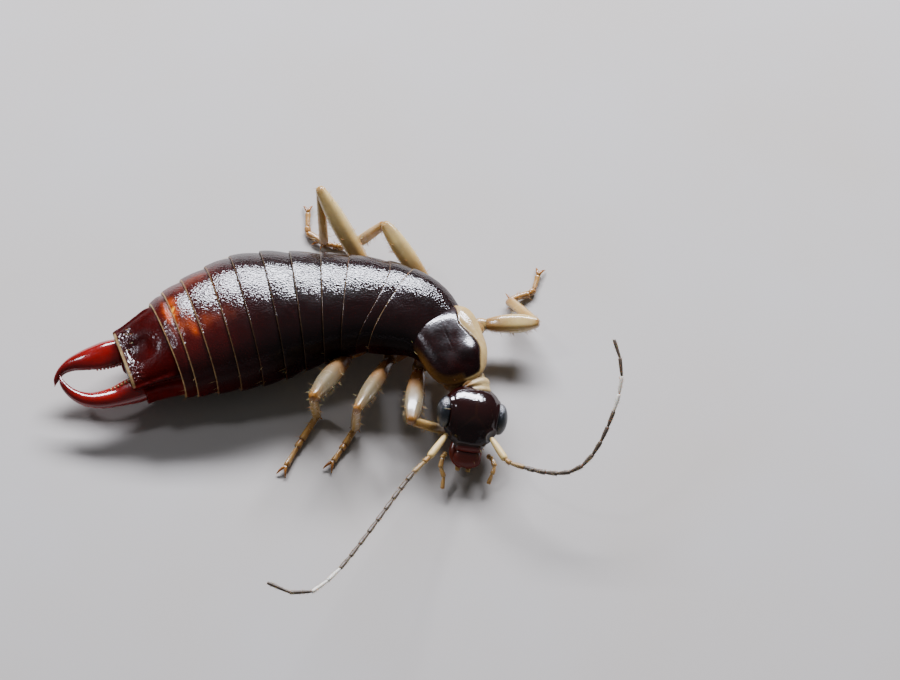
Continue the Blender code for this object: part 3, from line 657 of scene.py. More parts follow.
def shield_cuticle(tree):
    """The same dark chitin on the shield, thinning to a cream, untanned margin."""
    skin = leathery(tree, 0.06, 0.002, 0.14, 0.003)
    tint = painted(tree)
    margin = dyed(
        tree, tone("cream"),
        (mottled(tree, 0.3, 0.0, 0.6), tone("straw")),
        (tint["Blue"], tone("amber")),
    )
    body = dyed(
        tree, tone("shell"),
        (patchy(tree, tint["Green"], 0.35, 0.0), tone("shell_warm")),
        (tint["Red"], margin),
    )
    return add(tree, "ShaderNodeBsdfPrincipled", {
        "Base Color": body,
        "Roughness": mottled(tree, 0.25, 0.2, 0.34),
        "Normal": skin,
        "IOR": 1.5,
        "Specular IOR Level": 0.3,
        "Coat Weight": upward(tree, 0.93, 0.99, 0.85),
        "Coat Roughness": 0.06,
        "Coat Normal": skin,
        "Subsurface Weight": 0.15,
        "Subsurface Radius": (1.0, 0.6, 0.3),
        "Subsurface Scale": 0.12 * MM,
    })


def head_cuticle(tree):
    """Tanned chitin of the head, smoother than the back plates and dull about the mouth."""
    tint = painted(tree)
    skin = leathery(tree, 0.05, 0.0015, 0.2, 0.004)
    polished = add(tree, "ShaderNodeMapRange", {
        "Value": tint["Green"], "From Min": 0.2, "From Max": 0.7, "To Min": 0.14, "To Max": 0.45,
    })
    body = dyed(
        tree, tone("shell"),
        (patchy(tree, tint["Green"], 0.3, 0.6), tone("face")),
        (tint["Blue"], tone("glow")),
        (tint["Red"], tone("amber")),
    )
    return add(tree, "ShaderNodeBsdfPrincipled", {
        "Base Color": body,
        "Roughness": polished,
        "Normal": skin,
        "IOR": 1.5,
        "Specular IOR Level": 0.3,
        "Coat Weight": upward(tree, 0.4, 0.9),
        "Coat Roughness": 0.07,
        "Coat IOR": 1.6,
        "Coat Normal": skin,
    })


def leg_cuticle(tree):
    """Thin, untanned cuticle over clear tissue: straw, amber where it hardens at a joint.

    The grey laid on the right thighs is painted shade, and so is part of the amber and dark
    red at the roots of the right legs, which the body shades.
    """
    tint = painted(tree)
    body = dyed(
        tree, tone("straw"),
        (mottled(tree, 0.3, 0.0, 0.5), tone("cream")),
        # Painted shade: the darker grey on the thighs of the right legs.
        (tint["Red"], tone("leg_shade_grey")),
        (tint["Green"], tone("amber")),
        # Dark red at the legs' roots: partly their own colour, partly painted shade from the body.
        (tint["Blue"], tone("face")),
    )
    return add(tree, "ShaderNodeBsdfPrincipled", {
        "Base Color": body,
        "Roughness": mottled(tree, 0.2, 0.2, 0.3),
        "Normal": leathery(tree, 0.05, 0.001, 0.12, 0.002),
        "IOR": 1.50,
        "Coat Weight": 0.5,
        "Coat Roughness": 0.05,
        "Subsurface Weight": 0.6,
        "Subsurface Radius": (1.0, 0.8, 0.4),
        "Subsurface Scale": 0.2 * MM,
    })


def soft_cuticle(tree):
    """Soft, folded skin between the plates: cream, matt and finely wrinkled."""
    tint = painted(tree)
    body = dyed(
        tree, tone("cream"),
        (mottled(tree, 0.2, 0.0, 0.5), tone("straw")),
        (tint["Green"], tone("amber")),
        (tint["Blue"], tone("shell_warm")),
    )
    return add(tree, "ShaderNodeBsdfPrincipled", {
        "Base Color": body,
        "Roughness": mottled(tree, 0.15, 0.35, 0.5),
        "Normal": leathery(tree, 0.05, 0.003, 0.07, 0.012),
        "IOR": 1.48,
        "Subsurface Weight": 0.35,
        "Subsurface Radius": (1.0, 0.6, 0.35),
        "Subsurface Scale": 0.12 * MM,
    })


def feeler_cuticle(tree):
    """Matt, downy cuticle of the feelers: grey-brown, amber at the root, white near the tip."""
    tint = painted(tree)
    body = dyed(
        tree, tone("feeler"),
        (tint["Green"], tone("straw")),
        (tint["Blue"], tone("amber")),
        (tint["Red"], tone("feeler_pale")),
    )
    return add(tree, "ShaderNodeBsdfPrincipled", {
        "Base Color": body,
        "Roughness": mottled(tree, 0.15, 0.38, 0.55),
        "Normal": leathery(tree, 0.03, 0.002, 0.08, 0.003),
        "IOR": 1.50,
        "Subsurface Weight": 0.25,
        "Subsurface Radius": (1.0, 0.7, 0.45),
        "Subsurface Scale": 0.08 * MM,
    })


def eye_lenses(tree):
    """Clear, domed lenses over black pigment: very glossy, with a grey sheen painted over the
    black in patches.
    """
    return add(tree, "ShaderNodeBsdfPrincipled", {
        "Base Color": dyed(tree, tone("eye"), (mottled(tree, 0.15, 0.0, 0.7), tone("eye_sheen_grey"))),
        "Roughness": mottled(tree, 0.05, 0.10, 0.2),
        "IOR": 1.52,
        "Coat Weight": 1.0,
        "Coat Roughness": 0.06,
    })


def bristle_horn(tree):
    """Fine golden bristles of clear horn, which light passes into."""
    return add(tree, "ShaderNodeBsdfPrincipled", {
        "Base Color": dyed(tree, tone("bristle"), (mottled(tree, 0.1, 0.0, 0.5), tone("amber"))),
        "Roughness": 0.35,
        "IOR": 1.55,
        "Subsurface Weight": 0.3,
        "Subsurface Scale": 0.05 * MM,
    })


def floor_card(tree):
    """Matt white card under the model."""
    return add(tree, "ShaderNodeBsdfPrincipled", {
        "Base Color": dyed(tree, tone("floor"), (mottled(tree, 6.0, 0.0, 0.15), tone("cream"))),
        "Roughness": 0.85,
    })


def new_tree(name, inputs):
    """Return an empty geometry tree, its input node and its output node."""
    tree = bpy.data.node_groups.new(name, "GeometryNodeTree")
    for title, kind in (("Geometry", "Geometry"), *inputs):
        tree.interface.new_socket(title, in_out="INPUT", socket_type="NodeSocket" + kind)
    tree.interface.new_socket("Geometry", in_out="OUTPUT", socket_type="NodeSocketGeometry")
    return tree, add(tree, "NodeGroupInput").outputs


def finished(tree, geometry, material):
    """Make instances real, give them the material and end the tree."""
    real = add(tree, "GeometryNodeRealizeInstances", {"Geometry": geometry})
    smooth = add(tree, "GeometryNodeSetShadeSmooth", {"Geometry": real})
    dressed = add(tree, "GeometryNodeSetMaterial", {"Geometry": smooth, "Material": material})
    add(tree, "NodeGroupOutput", {"Geometry": dressed})
    return tree


def bristle_tree():
    """Strew bristles over a surface, leaning the way it is combed, where it is bristly."""
    tree, given = new_tree("Bristles", (
        ("Bristle", "Object"), ("Per Square Millimetre", "Float"), ("Length", "Float"),
        ("Thickness", "Float"), ("Lean", "Float"), ("Scatter", "Float"), ("Seed", "Int"),
        ("Material", "Material"),
    ))
    paint = add(
        tree, "GeometryNodeInputNamedAttribute", {"Name": "tint"}, data_type="FLOAT_COLOR"
    )
    tint = add(tree, "FunctionNodeSeparateColor", {"Color": paint.outputs["Attribute"]})
    comb = add(
        tree, "GeometryNodeInputNamedAttribute", {"Name": "lean"}, data_type="FLOAT_VECTOR"
    )
    per_metre = add(
        tree, "ShaderNodeMath", {0: given["Per Square Millimetre"], 1: MM**-2},
        operation="MULTIPLY",
    )
    density = add(
        tree, "ShaderNodeMath", {0: per_metre, 1: tint.outputs["Alpha"]}, operation="MULTIPLY"
    )
    strewn = add(
        tree, "GeometryNodeDistributePointsOnFaces",
        {"Mesh": given["Geometry"], "Density": density, "Seed": given["Seed"]},
    )
    combed = add(
        tree, "ShaderNodeVectorMath", {0: comb.outputs["Attribute"], "Scale": given["Lean"]},
        operation="SCALE",
    )
    wander = add(
        tree, "FunctionNodeRandomValue",
        {"Min": (-1.0, -1.0, -1.0), "Max": (1.0, 1.0, 1.0), "Seed": given["Seed"]},
        data_type="FLOAT_VECTOR",
    )
    stray = add(
        tree, "ShaderNodeVectorMath", {0: wander, "Scale": given["Scatter"]}, operation="SCALE"
    )
    leaning = add(
        tree, "ShaderNodeVectorMath", {0: strewn.outputs["Normal"], 1: combed}, operation="ADD"
    )
    way = add(tree, "ShaderNodeVectorMath", {0: leaning, 1: stray}, operation="ADD")
    turned = add(tree, "FunctionNodeAlignRotationToVector", {"Vector": way}, axis="Z")
    spread = add(
        tree, "FunctionNodeRandomValue", {"Min": 0.55, "Max": 1.15, "Seed": given["Seed"]},
        data_type="FLOAT",
    )
    reach = add(tree, "ShaderNodeMath", {0: given["Length"], 1: spread}, operation="MULTIPLY")
    scale = add(
        tree, "ShaderNodeCombineXYZ",
        {"X": given["Thickness"], "Y": given["Thickness"], "Z": reach},
    )
    shape = add(tree, "GeometryNodeObjectInfo", {"Object": given["Bristle"]})
    planted = add(
        tree, "GeometryNodeInstanceOnPoints",
        {"Points": strewn, "Instance": shape.outputs["Geometry"], "Rotation": turned,
         "Scale": scale},
    )
    return finished(tree, planted, given["Material"])


def chain_tree():
    """Set one article on each point, turned along its way and drawn out to girth and reach."""
    tree, given = new_tree("Chain", (("Article", "Object"), ("Material", "Material")))
    way = add(
        tree, "GeometryNodeInputNamedAttribute", {"Name": "lean"}, data_type="FLOAT_VECTOR"
    )
    turned = add(
        tree, "FunctionNodeAlignRotationToVector", {"Vector": way.outputs["Attribute"]}, axis="Z"
    )
    girth = add(tree, "GeometryNodeInputNamedAttribute", {"Name": "girth"}, data_type="FLOAT")
    reach = add(tree, "GeometryNodeInputNamedAttribute", {"Name": "reach"}, data_type="FLOAT")
    scale = add(
        tree, "ShaderNodeCombineXYZ",
        {"X": girth.outputs["Attribute"], "Y": girth.outputs["Attribute"],
         "Z": reach.outputs["Attribute"]},
    )
    shape = add(tree, "GeometryNodeObjectInfo", {"Object": given["Article"]})
    strung = add(
        tree, "GeometryNodeInstanceOnPoints",
        {"Points": given["Geometry"], "Instance": shape.outputs["Geometry"],
         "Rotation": turned, "Scale": scale},
    )
    return finished(tree, strung, given["Material"])


def facet_tree():
    """Cover a stretched ball with six-sided lenses, each raised over its neighbours."""
    tree, given = new_tree("Facets", (
        ("Subdivisions", "Int"), ("Half Sizes", "Vector"), ("Rise", "Float"), ("Narrowing", "Float"),
        ("Material", "Material"),
    ))
    ball = add(
        tree, "GeometryNodeMeshIcoSphere", {"Radius": 1.0, "Subdivisions": given["Subdivisions"]}
    )
    cells = add(tree, "GeometryNodeDualMesh", {"Mesh": ball.outputs["Mesh"]})
    raised = add(
        tree, "GeometryNodeExtrudeMesh",
        {"Mesh": cells, "Offset Scale": given["Rise"], "Individual": True}, mode="FACES",
    )
    domed = add(
        tree, "GeometryNodeScaleElements",
        {"Geometry": raised.outputs["Mesh"], "Selection": raised.outputs["Top"],
         "Scale": given["Narrowing"]},
        domain="FACE",
    )
    stretched = add(
        tree, "GeometryNodeTransform", {"Geometry": domed, "Scale": given["Half Sizes"]}
    )
    return finished(tree, stretched, given["Material"])


def grown(tree, name, mesh, inputs):
    """Run a geometry tree on a mesh and return the plain mesh that it makes."""
    seedbed = bpy.data.objects.new("seedbed", mesh)
    bpy.context.scene.collection.objects.link(seedbed)
    modifier = seedbed.modifiers.new("Grow", "NODES")
    modifier.node_group = tree
    sockets = {
        item.name: item.identifier
        for item in tree.interface.items_tree
        if item.item_type == "SOCKET" and item.in_out == "INPUT"
    }
    for title, value in inputs.items():
        modifier[sockets[title]] = value
    seedbed.update_tag()
    depsgraph = bpy.context.evaluated_depsgraph_get()
    made = bpy.data.meshes.new_from_object(seedbed.evaluated_get(depsgraph), depsgraph=depsgraph)
    seedbed.modifiers.remove(modifier)
    bpy.data.objects.remove(seedbed)
    if not made.polygons:
        raise RuntimeError(f"nothing grew on {name}")
    made.name = name
    return made


def tree_named(name, maker):
    """Return a geometry tree by name, made the first time it is asked for."""
    return bpy.data.node_groups.get(name) or maker()


def unit_shape(name, profile, sides, bend=0.0):
    """Return a hidden object of unit length along +Z, for a tree to repeat."""
    found = bpy.data.objects.get(name)
    if found:
        return found
    shape = bmesh.new()
    rings = []
    for rise, radius in profile:
        rings.append([
            shape.verts.new((
                radius * math.cos(2 * math.pi * index / sides) + bend * rise * rise,
                radius * math.sin(2 * math.pi * index / sides),
                rise,
            ))
            for index in range(sides)
        ])
    for ring, following in zip(rings, rings[1:]):
        for index in range(sides):
            after = (index + 1) % sides
            shape.faces.new((ring[index], ring[after], following[after], following[index]))
    shape.faces.new(rings[0][::-1])
    shape.faces.new(rings[-1])
    mesh = bpy.data.meshes.new(name)
    shape.to_mesh(mesh)
    shape.free()
    return bpy.data.objects.new(name, mesh)


BRISTLE_PROFILE = ((0.0, 1.0), (0.35, 0.85), (0.7, 0.5), (1.0, 0.1))
BEAD_PROFILE = (
    (0.0, 0.25), (0.08, 0.6), (0.25, 0.9), (0.5, 1.0), (0.75, 0.9), (0.92, 0.6), (1.0, 0.25),
)
ARTICLE_PROFILE = (
    (0.0, 0.40), (0.02, 0.55), (0.06, 0.66), (0.18, 0.78), (0.40, 0.90), (0.65, 0.98),
    (0.84, 1.0), (0.93, 0.94), (0.98, 0.78), (1.0, 0.5),
)


def bristles(name, mesh, per_square_mm, length_mm, thickness_mm, lean, scatter, seed):
    """Grow bristles on a finished mesh and show them as a piece of their own."""
    made = grown(tree_named("Bristles", bristle_tree), name, mesh, {
        "Bristle": unit_shape("one bristle", BRISTLE_PROFILE, 4, bend=3.0),
        "Per Square Millimetre": per_square_mm,
        "Length": length_mm * MM,
        "Thickness": thickness_mm * MM,
        "Lean": lean,
        "Scatter": scatter,
        "Seed": seed,
        "Material": made_material("golden bristle horn", bristle_horn),
    })
    return put(name, made, made_material("golden bristle horn", bristle_horn))


def chain_points(name, links):
    """Return a mesh of loose points that carry way, reach, girth and tint for a chain."""
    mesh = bpy.data.meshes.new(name)
    mesh.from_pydata([(start + MIDDLE) * MM for start, _, _, _ in links], [], [])
    ways = mesh.attributes.new("lean", "FLOAT_VECTOR", "POINT")
    ways.data.foreach_set("vector", [part for _, span, _, _ in links for part in span.normalized()])
    reaches = mesh.attributes.new("reach", "FLOAT", "POINT")
    reaches.data.foreach_set("value", [span.length * MM for _, span, _, _ in links])
    girths = mesh.attributes.new("girth", "FLOAT", "POINT")
    girths.data.foreach_set("value", [girth * MM for _, _, girth, _ in links])
    tints = mesh.attributes.new("tint", "FLOAT_COLOR", "POINT")
    tints.data.foreach_set("color", [share for _, _, _, tint in links for share in tint])
    return mesh


def chain(name, links, material, article="one article", profile=ARTICLE_PROFILE, sides=20):
    """Return the plain mesh of articles strung along a path."""
    return grown(tree_named("Chain", chain_tree), name, chain_points(name, links), {
        "Article": unit_shape(article, profile, sides),
        "Material": material,
    })


def trunk_point(place, turn, lift=0.0, power=None):
    """Return a point of the trunk at a place in stations, a turn round it and a lift."""
    if power is None:
        power = BODY_POWER + (THORAX_POWER - BODY_POWER) * blend(10.0, 12.0, place)
    x, y, heading, half_width, bottom, top = spline(TRUNK, place)
    heading = math.radians(heading)
    across = Vector((math.sin(heading), -math.cos(heading), 0.0))
    level = bottom + (top - bottom) * WIDEST_LEVEL
    rise = math.sin(turn)
    half_height = top - level if rise > 0 else level - bottom
    point = (
        Vector((x, y, level))
        + across * squared(math.cos(turn), power) * (half_width + lift)
        + UP * squared(rise, power) * (half_height + lift)
    )
    point.z = max(point.z, 0.0)
    return point


def trunk_way(place):
    """Return the direction from a place on the trunk towards the tail."""
    heading = math.radians(spline(TRUNK, place)[2])
    return Vector((-math.cos(heading), -math.sin(heading), 0.0))


def trunk_run(place):
    """Return how many millimetres one station is worth at a place."""
    ahead, behind = spline(TRUNK, place + 0.05), spline(TRUNK, place - 0.05)
    return math.hypot(ahead[0] - behind[0], ahead[1] - behind[1]) / 0.1


def warmth(place):
    """Return how maroon the abdomen is: black in front, red towards the tail."""
    return 1.0 - 0.92 * blend(1.0, 6.5, place)


# Places where light comes through the plates: station, turn, their reach, strength.
GLOWS = (
    (2.16, math.radians(103), 0.24, math.radians(15), 1.0),
    (1.62, math.radians(105), 0.28, math.radians(14), 0.8),
    (2.62, math.radians(89), 0.20, math.radians(8), 0.42),
    (2.78, math.radians(78), 0.14, math.radians(5), 0.5),
    (3.35, math.radians(83), 0.35, math.radians(7), 0.18),
    (4.20, math.radians(82), 0.50, math.radians(6), 0.08),
    (3.40, math.radians(128), 0.60, math.radians(10), 0.15),
)


def glow_at(place, turn):
    """Return how much light comes through a plate."""
    return min(1.0, sum(
        strength * hill(place - centre, reach) * hill(turn - aim, spread)
        for centre, aim, reach, spread, strength in GLOWS
    ))


def shoulder_drop(place):
    """Return how far the trunk sinks where it passes under the shield."""
    return 0.16 * blend(11.3, 12.6, place)


def plate_shares(front, rear):
    """Return a plate's rows, as places and millimetres to its rear edge."""
    run = trunk_run(rear)
    places = [front + PLATE_OVERLAP / trunk_run(front), front + 0.5 * PLATE_OVERLAP]
    reach = (front - rear) * run
    steps = 9
    for step in range(steps + 1):
        distance = reach + (LIP_ROWS[0] - reach) * step / steps
        places.append(rear + distance / run)
    places += [rear + distance / run for distance in LIP_ROWS[1:]]
    return [(place, (place - rear) * run) for place in places]


def body_plate(clay, front, rear, turns, sunk=0.0, edge=None, bristly=1.0, pale_lip=None):
    """Add one plate of the trunk, with a raised, pale rear lip."""
    thick = sizes().plate_thickness / MM
    lip = sizes().lip_width / MM
    if pale_lip is None:
        pale_lip = 0.95 - 0.86 * blend(1.0, 5.5, rear)
    outer, inner = [], []
    for place, distance in plate_shares(front, rear):
        share = min(max((front - place) / (front - rear), 0.0), 1.0)
        lift = -PLATE_DROP * (1 - share) ** 1.4 + 0.012 * math.sin(math.pi * share) - sunk
        if place > front:
            lift -= 0.012
        if distance < 0.02:
            lift -= thick * 0.3 * (1 - distance / 0.02)
        top, under = [], []
        for column in range(PLATE_COLUMNS + 1):
            turn = turns[0] + (turns[1] - turns[0]) * column / PLATE_COLUMNS
            shift = edge(turn) if edge else 0.0
            flank = min(turn - turns[0], turns[1] - turn)
            raised = lift + 0.016 * hill(flank - math.radians(17), math.radians(5))
            raised -= shoulder_drop(place)
            pale = pale_lip * (1 - blend(lip * 0.5, lip * 1.2, distance))
            side = blend(math.radians(60), math.radians(8), flank)
            tint = (
                pale,
                max(warmth(place), 0.5 * hill(flank, math.radians(20))),
                glow_at(place, turn),
                bristly * side * (1 - blend(0.03, 0.07, distance)),
            )
            lean = trunk_way(place)
            top.append((trunk_point(place + shift, turn, raised), tint, lean))
            under.append((trunk_point(place + shift, turn, raised - thick), tint, lean))
        outer.append(top)
        inner.append(under)
    clay.plate(outer, inner)


class EARWIG_OT_abdomen(bpy.types.Operator):
    """Lay the nine back plates and the belly plates of the abdomen over one another"""

    bl_idname = "earwig.abdomen"
    bl_label = "Abdomen"

    def execute(self, context):
        clay = Clay()
        for front, rear in BACK_PLATES:
            body_plate(clay, front, rear, BACK_TURNS)
            body_plate(clay, front, rear, BELLY_TURNS, sunk=0.06, bristly=0.3)
        mesh = clay.mesh("abdomen_plates")
        material = made_material("tanned plate cuticle", shell_cuticle)
        put("abdomen_plates", mesh, material, ("abdomen",))
        bristles("abdomen_bristles", mesh, 40.0, sizes().body_bristle / MM, 0.004, 1.1, 0.35, 3)
        return {"FINISHED"}


class EARWIG_OT_thorax(bpy.types.Operator):
    """Lay the two back plates of the thorax, with the side and breast plates under them"""

    bl_idname = "earwig.thorax"
    bl_label = "Thorax"

    def execute(self, context):
        clay = Clay()

        def hollow(turn):
            return 0.45 * max(math.sin(turn), 0.0) ** 2

        body_plate(clay, 11.0, 10.12, THORAX_TURNS, edge=hollow, bristly=0.3, pale_lip=0.08)
        body_plate(clay, 12.95, 11.0, THORAX_TURNS, bristly=0.3, pale_lip=0.25)
        for front, rear in ((10.95, 10.1), (12.6, 11.1)):
            body_plate(clay, front, rear, BELLY_TURNS, sunk=0.06, bristly=0.3)
        mesh = clay.mesh("thorax_plates")
        material = made_material("tanned plate cuticle", shell_cuticle)
        put("thorax_plates", mesh, material, ("metathorax", "mesothorax"))
        bristles("thorax_bristles", mesh, 30.0, 0.1, 0.006, 1.6, 0.25, 5)
        return {"FINISHED"}


def tail_grain(share, turn):
    """Return how grainy the last segment is: by its rim, its keels and its furrow's end."""
    from_top = math.radians(90) - math.asin(math.sin(turn))
    reach = 0.36 + 0.10 * blend(math.radians(85), math.radians(100), turn)
    rim = blend(0.07, 0.12, share) * (1 - blend(reach - 0.10, reach + 0.06, share))
    rim *= 1 - blend(math.radians(30), math.radians(44), from_top)
    notch = 0.8 * hill(share - 0.72, 0.08) * hill(turn - math.radians(88), math.radians(6))
    keels = 0.7 * hill(from_top - math.radians(53), math.radians(4)) * hill(share - 0.5, 0.25)
    return min(1.0, rim + notch + keels)


def tail_point(share, turn, lift=0.0):
    """Return a point of the last segment, from its rear at 0 to the plate in front at 1."""
    power = TAIL_POWER + (BODY_POWER - TAIL_POWER) * share**2
    above = math.asin(math.sin(turn))
    from_top = math.radians(90) - above
    # The belly plate ends well in front of the back plate's rim.
    cut_back = 0.30 * blend(math.radians(42), math.radians(18), above)
    furrow = 0.07 * hill(from_top, math.radians(8)) * blend(0.10, 0.28, share)
    furrow *= 1 - blend(0.55, 0.8, share)
    keel = 0.05 * hill(above - math.radians(37), math.radians(5)) * (1 - blend(0.75, 1.0, share))
    crease = 0.06 * hill(above - math.radians(26), math.radians(6))
    belly = 0.02 * blend(math.radians(5), math.radians(-5), above)
    knobs = 0.035 * hill(from_top - math.radians(36), math.radians(20))
    knobs *= hill(share - 0.08, 0.12)
    waist = 0.07 * math.sin(math.pi * min(share, 1.0)) * blend(0.9, 0.3, abs(math.sin(turn)))
    lift += knobs + keel - furrow - crease - belly - waist
    point = trunk_point(share + cut_back * (1 - share), turn, lift, power)
    grains = noise.noise(point / 0.055) + 0.6 * noise.noise(point / 0.03)
    return point + UP * 0.030 * grains * tail_grain(share, turn)


class EARWIG_OT_tail(bpy.types.Operator):
    """Shape the squarish last segment, with its furrow, side keels and pale rear rim"""

    bl_idname = "earwig.tail"
    bl_label = "Last segment"

    def execute(self, context):
        clay = Clay()
        rows = []
        columns = 240
        steps = 60
        profile = [(0.0, -0.40), (0.0, -0.22), (0.0, -0.10), (-0.01, -0.05), (-0.008, -0.015)]
        profile += [(1.05 * step / steps, -0.06 * (step / steps) ** 2) for step in range(steps + 1)]
        profile += [(1.12, -0.10)]
        for share, lift in profile:
            row = []
            rim = 0.9 * (1 - blend(0.07, 0.10, share)) * blend(-0.14, -0.01, lift)
            for column in range(columns):
                turn = 2 * math.pi * column / columns
                above = math.asin(math.sin(turn))
                back = blend(math.radians(38), math.radians(50), above)
                belly = blend(math.radians(32), math.radians(20), above)
                tint = (rim * back, 0.7 + 0.3 * belly, 0.4 * belly, tail_grain(share, turn))
                row.append((tail_point(share, turn, lift), tint, trunk_way(share)))
            rows.append(row)
        clay.tube(rows)
        knob = trunk_point(0.0, math.radians(90)) - UP * 0.45
        way = trunk_way(0.0)
        path = [
            (*(knob + way * (reach - 0.25)), half, half * 0.7)
            for reach, half in ((0.0, 0.22), (0.15, 0.22), (0.25, 0.17), (0.30, 0.08))
        ]
        clay.tube(round_rows(path, UP, 28, 20, 0.85, lambda share: (0.0, 1.0, 0.3, 0.0)))
        mesh = clay.mesh("tail_segment")
        material = made_material("grainy tail cuticle", tail_cuticle)
        put("tail_segment", mesh, material, ("last_segment",))
        bristles("tail_bristles", mesh, 5.0, 0.16, 0.004, 1.2, 0.3, 7)
        return {"FINISHED"}


def arm_swell(share, turn):
    """Return how far an arm swells at a turn from its inner edge, and how much is tooth."""
    blade = 0.16 * hill(math.remainder(turn - 0.2, 2 * math.pi), 0.45)
    ridge = 0.10 * hill(math.remainder(turn - 1.9, 2 * math.pi), 0.35)
    tooth = 0.0
    if 0.06 < share < 0.55:
        tooth = (1 - share) * abs(math.sin((share - 0.06) / 0.49 * 9 * math.pi)) ** 1.5
        tooth *= hill(math.remainder(turn, 2 * math.pi), 0.3)
    return 1 + blade * (1 - blend(0.35, 0.8, share)) + ridge * (1 - share) + 0.08 * tooth, tooth


class EARWIG_OT_forceps(bpy.types.Operator):
    """Shape the two bowed arms of the forceps, each with teeth along its inner edge"""

    bl_idname = "earwig.forceps"
    bl_label = "Forceps"

    def execute(self, context):
        material = made_material("blood-red horn", horn_cuticle)
        rings, sides = 72, 40
        for side, path in FORCEPS.items():
            inward = -1.0 if side == "left" else 1.0
            place_at, _ = measured(path)
            clay = Clay()
            rows = []
            for step in range(rings + 1):
                share = step / rings
                x, y, z, half_width, half_height = spline(path, place_at(share))
                way = way_along(path, place_at(share))
                inner = way.cross(UP).normalized() * inward
                blunt = math.sqrt(1 - 0.97 * blend(0.93, 1.0, share))
                dark = 0.05 + 0.6 * blend(0.6, 1.0, share) + 0.15 * (1 - blend(0.0, 0.15, share))
                row = []
                for index in range(sides):
                    turn = 2 * math.pi * index / sides
                    reach, tooth = arm_swell(share, turn)
                    outward = inner * math.cos(turn) * half_width
                    outward += UP * math.sin(turn) * half_height
                    tint = (0.15 * tooth, dark, 0.0, 0.06 * (1 - share))
                    row.append((Vector((x, y, z)) + outward * reach * blunt, tint, way))
                rows.append(row)
            clay.tube(rows)
            mesh = clay.mesh("forceps_arm_" + side)
            put("forceps_arm_" + side, mesh, material, ("forceps_" + side,))
            bristles("forceps_bristles_" + side, mesh, 30.0, 0.12, 0.005, 0.8, 0.4, 11)

            links = []
            for number in range(BEADS):
                share = BEAD_SHARES[0] + (BEAD_SHARES[1] - BEAD_SHARES[0]) * number / (BEADS - 1)
                x, y, z, half_width, half_height = spline(path, place_at(share))
                way = way_along(path, place_at(share))
                inner = way.cross(UP).normalized() * inward
                outward = inner * math.cos(BEAD_TURNS[side]) * half_width
                outward += UP * math.sin(BEAD_TURNS[side]) * half_height
                middle = Vector((x, y, z)) + outward * 1.08
                size = 0.050 - 0.018 * number / (BEADS - 1)
                # Painted highlight: the right arm's teeth are painted pale cream where they catch the
                # light; the left arm's stay nearly horn red.
                pale = 0.9 if side == "right" else 0.1
                links.append((middle - inner * size, inner * 2 * size, size, (pale, 0.0, 0.0, 0.0)))
            beads = chain("forceps_beads_" + side, links, material, "one bead", BEAD_PROFILE, 12)
            put("forceps_beads_" + side, beads, material)
        return {"FINISHED"}


def shield_heading():
    return Vector((math.cos(SHIELD_HEADING), math.sin(SHIELD_HEADING), 0.0))


def shield_flange(along, side):
    """Return how wide the pale flange is at a place on the edge, in its own axes."""
    if side < 0:
        wide = 0.40 - 0.22 * blend(-0.6, 0.6, along)
    else:
        wide = 0.04 * blend(-0.5, 0.6, along)
    end = 0.04 * blend(0.0, 1.0, along)
    sideways = blend(0.55, 0.95, abs(side))
    return end + (wide - end) * sideways


class EARWIG_OT_shield(bpy.types.Operator):
    """Shape the shield behind the head, dark in the middle and cream along its margin"""

    bl_idname = "earwig.shield"
    bl_label = "Pronotum"

    def execute(self, context):
        heading = shield_heading()
        right = heading.cross(UP)
        clay = Clay()
        columns = 160
        top_shares = [0.02 + 0.94 * step / 46 for step in range(47)]
        top_shares += [0.972, 0.983, 0.992, 0.997, 1.0]
        rows = []
        for upper, shares in ((False, top_shares), (True, top_shares[::-1])):
            for share in shares:
                row = []
                for column in range(columns):
                    angle = 2 * math.pi * (column + 0.5) / columns
                    along = squared(math.cos(angle), SHIELD_POWER) * share
                    side = squared(math.sin(angle), SHIELD_POWER) * share
                    taper = SHIELD_FRONT_WIDTH - SHIELD_REAR_WIDTH
                    width = SHIELD_REAR_WIDTH + taper * (along + 1) / 2
                    left = side < 0
                    # Distance to the edge, and how wide the pale flange is there.
                    to_edge = (1 - share) * SHIELD_REAR_WIDTH / 2
                    flange = shield_flange(along / share, side / share)
                    outward = 0.08 * blend(0.5, 0.9, -side) * (1 - blend(0.2, 0.9, along))
                    point = (
                        SHIELD_MIDDLE + heading * along * SHIELD_LENGTH / 2
                        + right * (side * width / 2 - outward)
                    )
                    # It slopes down to the front, with a low swelling on the left.
                    level = SHIELD_EDGE_LEVEL + SHIELD_DOME * (1 - share**3.6)
                    level -= 0.10 * (along + 1)
                    level += 0.06 * hill(math.hypot(along - 0.42, (side + 0.5) / 1.3), 0.26)
                    level -= 0.03 * hill(to_edge - flange, 0.05) * min(1.0, flange / 0.15)
                    level += 0.012 * hill(to_edge - flange * 0.45, 0.035) * min(1.0, flange / 0.2)
                    level -= 0.005 * hill(side, 0.03) * (1 - blend(0.5, 0.8, share))
                    if not upper:
                        level -= 0.15 - 0.10 * share**6
                    elif share > 0.985:
                        level -= 0.02 * (share - 0.985) / 0.015
                    point.z = level
                    soft = 0.02 if left else 0.16
                    pale = 1 - blend(flange * 0.9, flange * 1.08 + soft, to_edge)
                    amber = 0.15 + 0.15 * hill(to_edge, 0.03) if left else 1.0
                    pale *= 1.0 if left else 0.38 * blend(-0.4, 0.3, along / share)
                    tint = (
                        pale if upper else 0.6, 0.12, amber, 0.3 * hill(share - 0.97, 0.05)
                    )
                    row.append((point, tint, -heading))
                rows.append(row)
        clay.tube(rows)
        mesh = clay.mesh("pronotum_shield")
        put("pronotum_shield", mesh, made_material("shield cuticle", shield_cuticle),
            ("pronotum",))
        bristles("shield_bristles", mesh, 22.0, 0.13, 0.006, 0.9, 0.4, 13)
        return {"FINISHED"}


